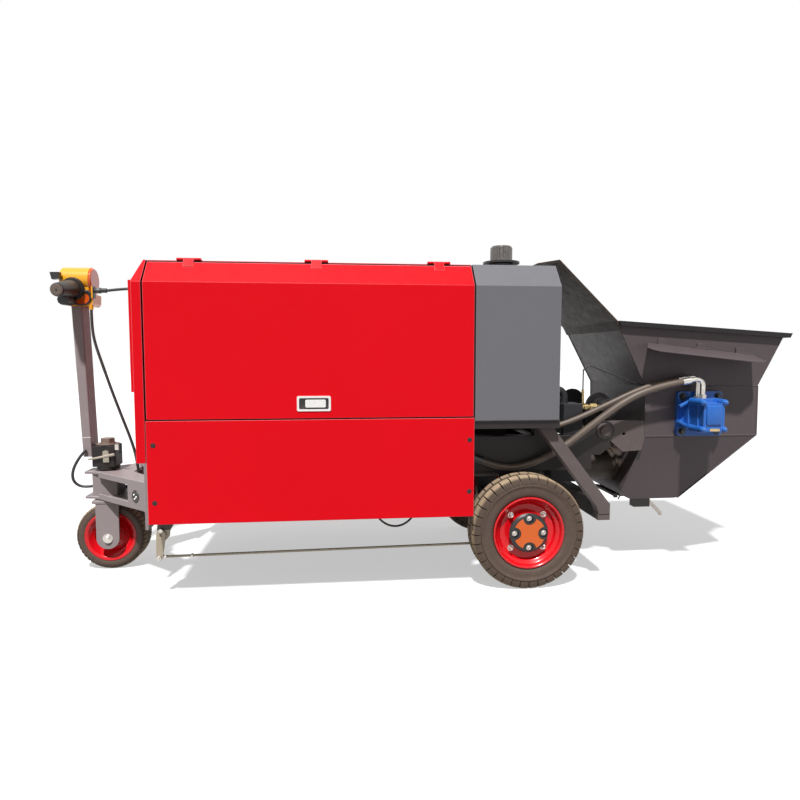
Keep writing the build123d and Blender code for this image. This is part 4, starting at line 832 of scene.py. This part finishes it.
# %% Front axle nuts
AXLE_NUT = [(0, 101), (8, 101), (12, 98), (12, 95), (16.5, 95), (16.5, 90), (21, 89), (21, 86.2), (0, 86.2)]
axle = bmesh.new()
for _, s in SIDES:
    spun_outline(axle, [(r, s * y) for r, y in AXLE_NUT], False, FRONT_CENTRE, steps=32)
make_piece(axle, "front_axle_nuts", "steering", zinc_plate)

# %% [markdown]
# Four domed screws on thin washers hold each lower panel. Their paint is a red that is nearly black.

# %% Panel screws
PANEL_FACE = 499.9
SCREW_PLACES = ((-1075, 617), (-1075, 400), (119, 622), (119, 418))
screws = bmesh.new()
for _, s in SIDES:
    for x, z in SCREW_PLACES:
        rod(screws, (x, s * PANEL_FACE, z), (x, s * 502.4, z), 7, 5, segments=20)
        rod(screws, (x, s * PANEL_FACE, z), (x, s * 500.6, z), 9.5, segments=24)
make_piece(screws, "panel_screws", "chassis", screw_red)

# %% [markdown]
# A rubber grommet lines the hole in each web of the front frame, and the plated ends of wires show in
# it. The webs lean inwards, so each grommet is built along its web's own normal.

# %% Grommets
GROMMET_PLACE = Vector((-1220.2, 264.5, 374))
GROMMET_WAY = Vector((-0.669, 0.743, 0))
GROMMET_R = 26
HOLE_R = 21.5
WIRE_PLACES = ((7, 6), (-9, -2), (3, -11))
grommets = bmesh.new()
wires = bmesh.new()
for _, s in SIDES:
    mirror = Vector((1, s, 1))
    place = GROMMET_PLACE * mirror
    way = GROMMET_WAY * mirror
    across = Vector((way.y, -way.x, 0))
    rod(grommets, place - way * 8, place + way * 1.5, HOLE_R, segments=32)
    rod(grommets, place + way * 0.1, place + way * 3, GROMMET_R, 24, segments=32)
    for x, z in WIRE_PLACES:
        foot = place + across * x + Vector((0, 0, z)) + way * 2
        rod(wires, foot, foot + way * 4, 4.5, 2.5, segments=12)
make_piece(grommets, "frame_grommets", "chassis", grip_black)
make_piece(wires, "grommet_wire_ends", "chassis", zinc_plate)

# %% [markdown]
# The tiller's head has a black rubber bezel around its orange window, and a band from the drum down to
# the window. The bezel is a spun ring, squeezed into an oval.

# %% The window's bezel
BEZEL_CENTRE = (-1489, -49, 1196)
BEZEL_WIDE = 38
BEZEL_HIGH = 29
BEZEL_THICK = 4.5


def oval_ring(shape, centre, half_wide, half_high, thick):
    """A ring of round section, stretched into an oval that faces the left side."""
    section = [(half_wide + thick * math.cos(a), -thick * math.sin(a))
               for a in (math.tau * k / 10 for k in range(10))]
    spun_outline(shape, section, True, (0, 0, 0), steps=48)
    bmesh.ops.scale(shape, vec=(1, 1, half_high / half_wide), verts=shape.verts)
    bmesh.ops.translate(shape, vec=centre, verts=shape.verts)


trim = bmesh.new()
oval_ring(trim, BEZEL_CENTRE, BEZEL_WIDE, BEZEL_HIGH, BEZEL_THICK)
rod(trim, (-1500, -50, 1231), (-1459, -51, 1224), 6)
rod(trim, (-1459, -51, 1224), (-1441, -48, 1212), 6, 4)
make_piece(trim, "head_bezel", "steering", grip_black)

# %% [markdown]
# The grip points sideways and a little down. It ends in a grey rubber disc with a black dot in its
# middle, the painted shade of a pin hole, and has three moulded ribs where it meets the drum, each a
# little smaller than the last.

# %% The grip's end and ribs
GRIP_WAY = Vector((0, -1, -0.135)).normalized()
GRIP_END = Vector((-1519, -209, 1215))
GRIP_ROOT = Vector((-1519, -53, 1236))
RIB_R = 48
disc = bmesh.new()
rod(disc, GRIP_END - GRIP_WAY * 3, GRIP_END + GRIP_WAY * 1.5, 25.5, 24, segments=40)
rod(disc, GRIP_END + GRIP_WAY * 1.5, GRIP_END + GRIP_WAY * 3, 21, 20, segments=40)
make_piece(disc, "grip_end_disc", "steering", grip_end_grey)
ribs = bmesh.new()
# This black stub on the end disc is the painted shade of the pin hole.
rod(ribs, GRIP_END + GRIP_WAY * 2.5, GRIP_END + GRIP_WAY * 4, 4, segments=20)
for k in range(3):
    foot = GRIP_ROOT + GRIP_WAY * (2 + 5 * k)
    rod(ribs, foot, foot + GRIP_WAY * 2.5, RIB_R - 2 * k, segments=48)
make_piece(ribs, "grip_ribs", "steering", plastic_black)

# %% [markdown]
# A bright seam crosses the column where its socket ends. It is a thin strip on the near face.

# %% The column's seam
SEAM_PLACE = (-1494, -42.5, 590)
seam = bmesh.new()
block(seam, SEAM_PLACE, (40, 1.2, 4.5), 0.4)
make_piece(seam, "column_seam", "steering", zinc_plate)

# %% [markdown]
# The steering lock is a rounded bracket on the socket with a tapered lever through it. The lever is
# two cones end to end, because it is thicker at the bracket. A plated tab and a black pin stand beside it.

# %% The steering lock
LOCK_X = -1408.5
LEVER_Y = -57
LEVER_TIP = (-1483, LEVER_Y, 495)
LEVER_WAIST = (-1424, LEVER_Y, 506)
LEVER_END = (-1372, LEVER_Y, 516)
lock = bmesh.new()
block(lock, (LOCK_X, -53, 506), (27, 8, 52), 3)
rod(lock, (LOCK_X, -49, 521), (LOCK_X, -60, 521), 15, 13, segments=28)
rod(lock, LEVER_TIP, LEVER_WAIST, 4, 6)
rod(lock, LEVER_WAIST, LEVER_END, 6, 7.5)
lock = make_piece(lock, "steering_lock_lever", "steering", worn_steel)
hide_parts("steering_lock")
tab = bmesh.new()
block(tab, (-1363, -51, 547), (16, 4, 25), 1)
make_piece(tab, "socket_tab", "steering", zinc_plate)
pin = bmesh.new()
rod(pin, (-1348, -51, 518), (-1348, -51, 564), 4)
make_piece(pin, "socket_pin", "steering", plastic_black)

# %% [markdown]
# The hydraulic motor is a rough casting with round bosses at its corners, a thick middle, a foot and
# ribs that lean out to its flange. Overlapping rods and rounded blocks give it its lumpy outline.

# %% The motor's casting
MOTOR_X = 1167
BOSS_PLACES = ((1121, 641), (1213, 641), (1119, 754), (1214, 754))
RIB_PLACES = ((1094, 655, 0.5), (1094, 742, -0.5), (1243, 655, -0.5), (1243, 742, 0.5))
casting = bmesh.new()
for x, z in BOSS_PLACES:
    rod(casting, (x, -352, z), (x, -440, z), 16, 13, segments=24)
    rod(casting, (x, -440, z), (x, -448, z), 13, 9, segments=24)
    bolt(casting, (x, -447, z), (0, -1, 0), 14, 7, washer=False)
block(casting, (MOTOR_X, -424, 640), (88, 34, 20), 4)
block(casting, (MOTOR_X - 2, -436, 702), (66, 22, 84), 6)
for x, z, lean in RIB_PLACES:
    block(casting, (x, -330, z), (50, 34, 14), 4, Matrix.Rotation(lean, 4, "Y"))
make_piece(casting, "motor_casting", "chassis", motor_blue)

# %% [markdown]
# Black socket bolts at the flange's corners hold the motor to the hopper, and its plate is left blank.

# %% The motor's bolts and plate
FLANGE_FACE = -311
flange_bolts = bmesh.new()
for x in (1102, 1264):
    for z in (620, 772):
        rod(flange_bolts, (x, FLANGE_FACE, z), (x, FLANGE_FACE - 3, z), 17, segments=28)
        rod(flange_bolts, (x, FLANGE_FACE - 3, z), (x, FLANGE_FACE - 15, z), 11, 10, segments=24)
make_piece(flange_bolts, "motor_flange_bolts", "chassis", plastic_black)
tag = bmesh.new()
block(tag, (MOTOR_X + 4, -441.8, 640), (44, 1.6, 11), 0.5)
make_piece(tag, "motor_blank_plate", "chassis", brass)

# %% [markdown]
# The hopper is welded from folded plate. A bead runs along each fold and each corner below the mouth.
# The beads are thin rods laid on the edges. A level is a height, where the hopper's front and rear are
# at that height, and half its width there.

# %% Hopper seams
MOUTH_Z = 1000
LEVELS = [(300, 868, 1149, 215), (596, 947, 1467, 290), (815, 942, 1465, 290), (1098, 798, 1602, 302.5)]
beads = bmesh.new()
for _, s in SIDES:
    for (z0, f0, r0, h0), (z1, f1, r1, h1) in zip(LEVELS, LEVELS[1:]):
        rod(beads, (f0, s * h0, z0), (f1, s * h1, z1), 3, segments=8)
        if z1 < MOUTH_Z:
            rod(beads, (r0, s * h0, z0), (r1, s * h1, z1), 3, segments=8)
            rod(beads, (f1, s * h1, z1), (r1, s * h1, z1), 2.2, segments=8)
make_piece(beads, "hopper_weld_beads", "chassis", hopper_grey)

# %% [markdown]
# Three low tabs hold the visor over the motor. They follow its top edge, which slopes to the rear.

# %% The visor's tabs
VISOR_SLOPE = 0.106
TAB_PLACES = ((1012, 39, 996), (1189, 69, 980), (1402, 52, 957))
tabs = bmesh.new()
for centre_x, wide, z in TAB_PLACES:
    block(tabs, (centre_x, -301, z), (wide, 7, 7), 2, Matrix.Rotation(VISOR_SLOPE, 4, "Y"))
make_piece(tabs, "visor_tabs", "chassis", hopper_grey)

# %% [markdown]
# The brake rod ends in a plated joint at the crank's foot, with a lock collar further along, and the
# crank turns on a pin with a washer.

# %% Brake joints
ROD_Z = 159
CRANK_X = -1093
joints = bmesh.new()
for _, s in SIDES:
    rod(joints, (CRANK_X, s * 400, ROD_Z), (CRANK_X, s * 410, ROD_Z), 11, 9, segments=24)
    rod(joints, (CRANK_X, s * 410, ROD_Z), (CRANK_X, s * 414, ROD_Z), 6, 4, segments=20)
    rod(joints, (CRANK_X, s * 388, ROD_Z), (-1070, s * 387.2, ROD_Z), 8, 6, segments=20)
    rod(joints, (-1085, s * 401, 266), (-1085, s * 406, 266), 9, 8, segments=24)
    rod(joints, (-975, s * 383.8, ROD_Z), (-968, s * 383.5, ROD_Z), 8, segments=20)
make_piece(joints, "brake_joints", "chassis", zinc_plate)

# %% [markdown]
# The floor is a plain pale sheet. Only rays from the camera and from gloss meet its bright side: other
# rays meet a dimmer floor, so the machine's shaded sides keep their depth. Rays that look at the floor
# see paper with a faint glow, which is white where the lamp falls and pale grey in shadow.

# %% The floor
FLOOR_BOUNCE = 0.16
FLOOR_HALF = 30


def looking_rays(tree):
    """One for rays from the camera, from gloss and through glass, and none for the others."""
    rays = add_node(tree, "ShaderNodeLightPath")
    gloss = reckon(tree, "MAXIMUM", rays.outputs["Is Camera Ray"], rays.outputs["Is Glossy Ray"])
    return reckon(tree, "MAXIMUM", gloss, rays.outputs["Is Transmission Ray"])


sheet = bmesh.new()
bmesh.ops.create_grid(sheet, x_segments=1, y_segments=1, size=FLOOR_HALF)
floor_mesh = bpy.data.meshes.new("floor")
sheet.to_mesh(floor_mesh)
sheet.free()
floor = bpy.data.objects.new("floor", floor_mesh)
bpy.context.scene.collection.objects.link(floor)
floor_material, floor_tree, floor_shader, _ = new_material("floor_paper_white")
floor_tree.nodes.remove(floor_shader)
paper = add_node(floor_tree, "ShaderNodeBsdfDiffuse", {"Color": linear("#bcbcbc")})
glow = add_node(floor_tree, "ShaderNodeEmission", {"Color": linear("#ffffff"), "Strength": 0.5})
shown = add_node(floor_tree, "ShaderNodeAddShader", {}, {0: paper.outputs[0], 1: glow.outputs[0]})
dim = add_node(floor_tree, "ShaderNodeBsdfDiffuse", {"Color": (FLOOR_BOUNCE, FLOOR_BOUNCE, FLOOR_BOUNCE, 1)})
floor_mix = add_node(floor_tree, "ShaderNodeMixShader", {},
                     {0: looking_rays(floor_tree), 1: dim.outputs[0], 2: shown.outputs[0]})
floor_tree.links.new(floor_mix.outputs[0], floor_tree.nodes["Material Output"].inputs["Surface"])
floor_mesh.materials.append(floor_material)
print("floor", [round(side) for side in floor.dimensions], "m")

# %% [markdown]
# The room is a white studio that gives soft light from all around. Rays that look at it see full
# white, and the others a dimmer room, for the same reason as on the floor. A sun lamp, high behind the
# camera's left shoulder, gives the shadow under the visor.

# %% The light
ROOM_LIGHT = 0.3
SUN_LIGHT = 4.5
SUN_WAY = Vector((0.12, 0.5, -0.86))
SUN_SPREAD = math.radians(3)

world = bpy.data.worlds.new("studio")
world.use_nodes = True
sky = world.node_tree
background = sky.nodes["Background"]
background.inputs["Color"].default_value = linear("#ffffff")
sky.links.new(ranged(sky, looking_rays(sky), 0.0, 1.0, ROOM_LIGHT, 1.0), background.inputs["Strength"])
bpy.context.scene.world = world

sun_data = bpy.data.lights.new("high_sun", "SUN")
sun_data.energy = SUN_LIGHT
sun_data.angle = SUN_SPREAD
sun = bpy.data.objects.new("high_sun", sun_data)
sun.rotation_mode = "QUATERNION"
sun.rotation_quaternion = SUN_WAY.to_track_quat("-Z", "Y")
bpy.context.scene.collection.objects.link(sun)
bpy.context.scene.view_settings.view_transform = "Standard"
print("sun", SUN_LIGHT, "and room", ROOM_LIGHT)
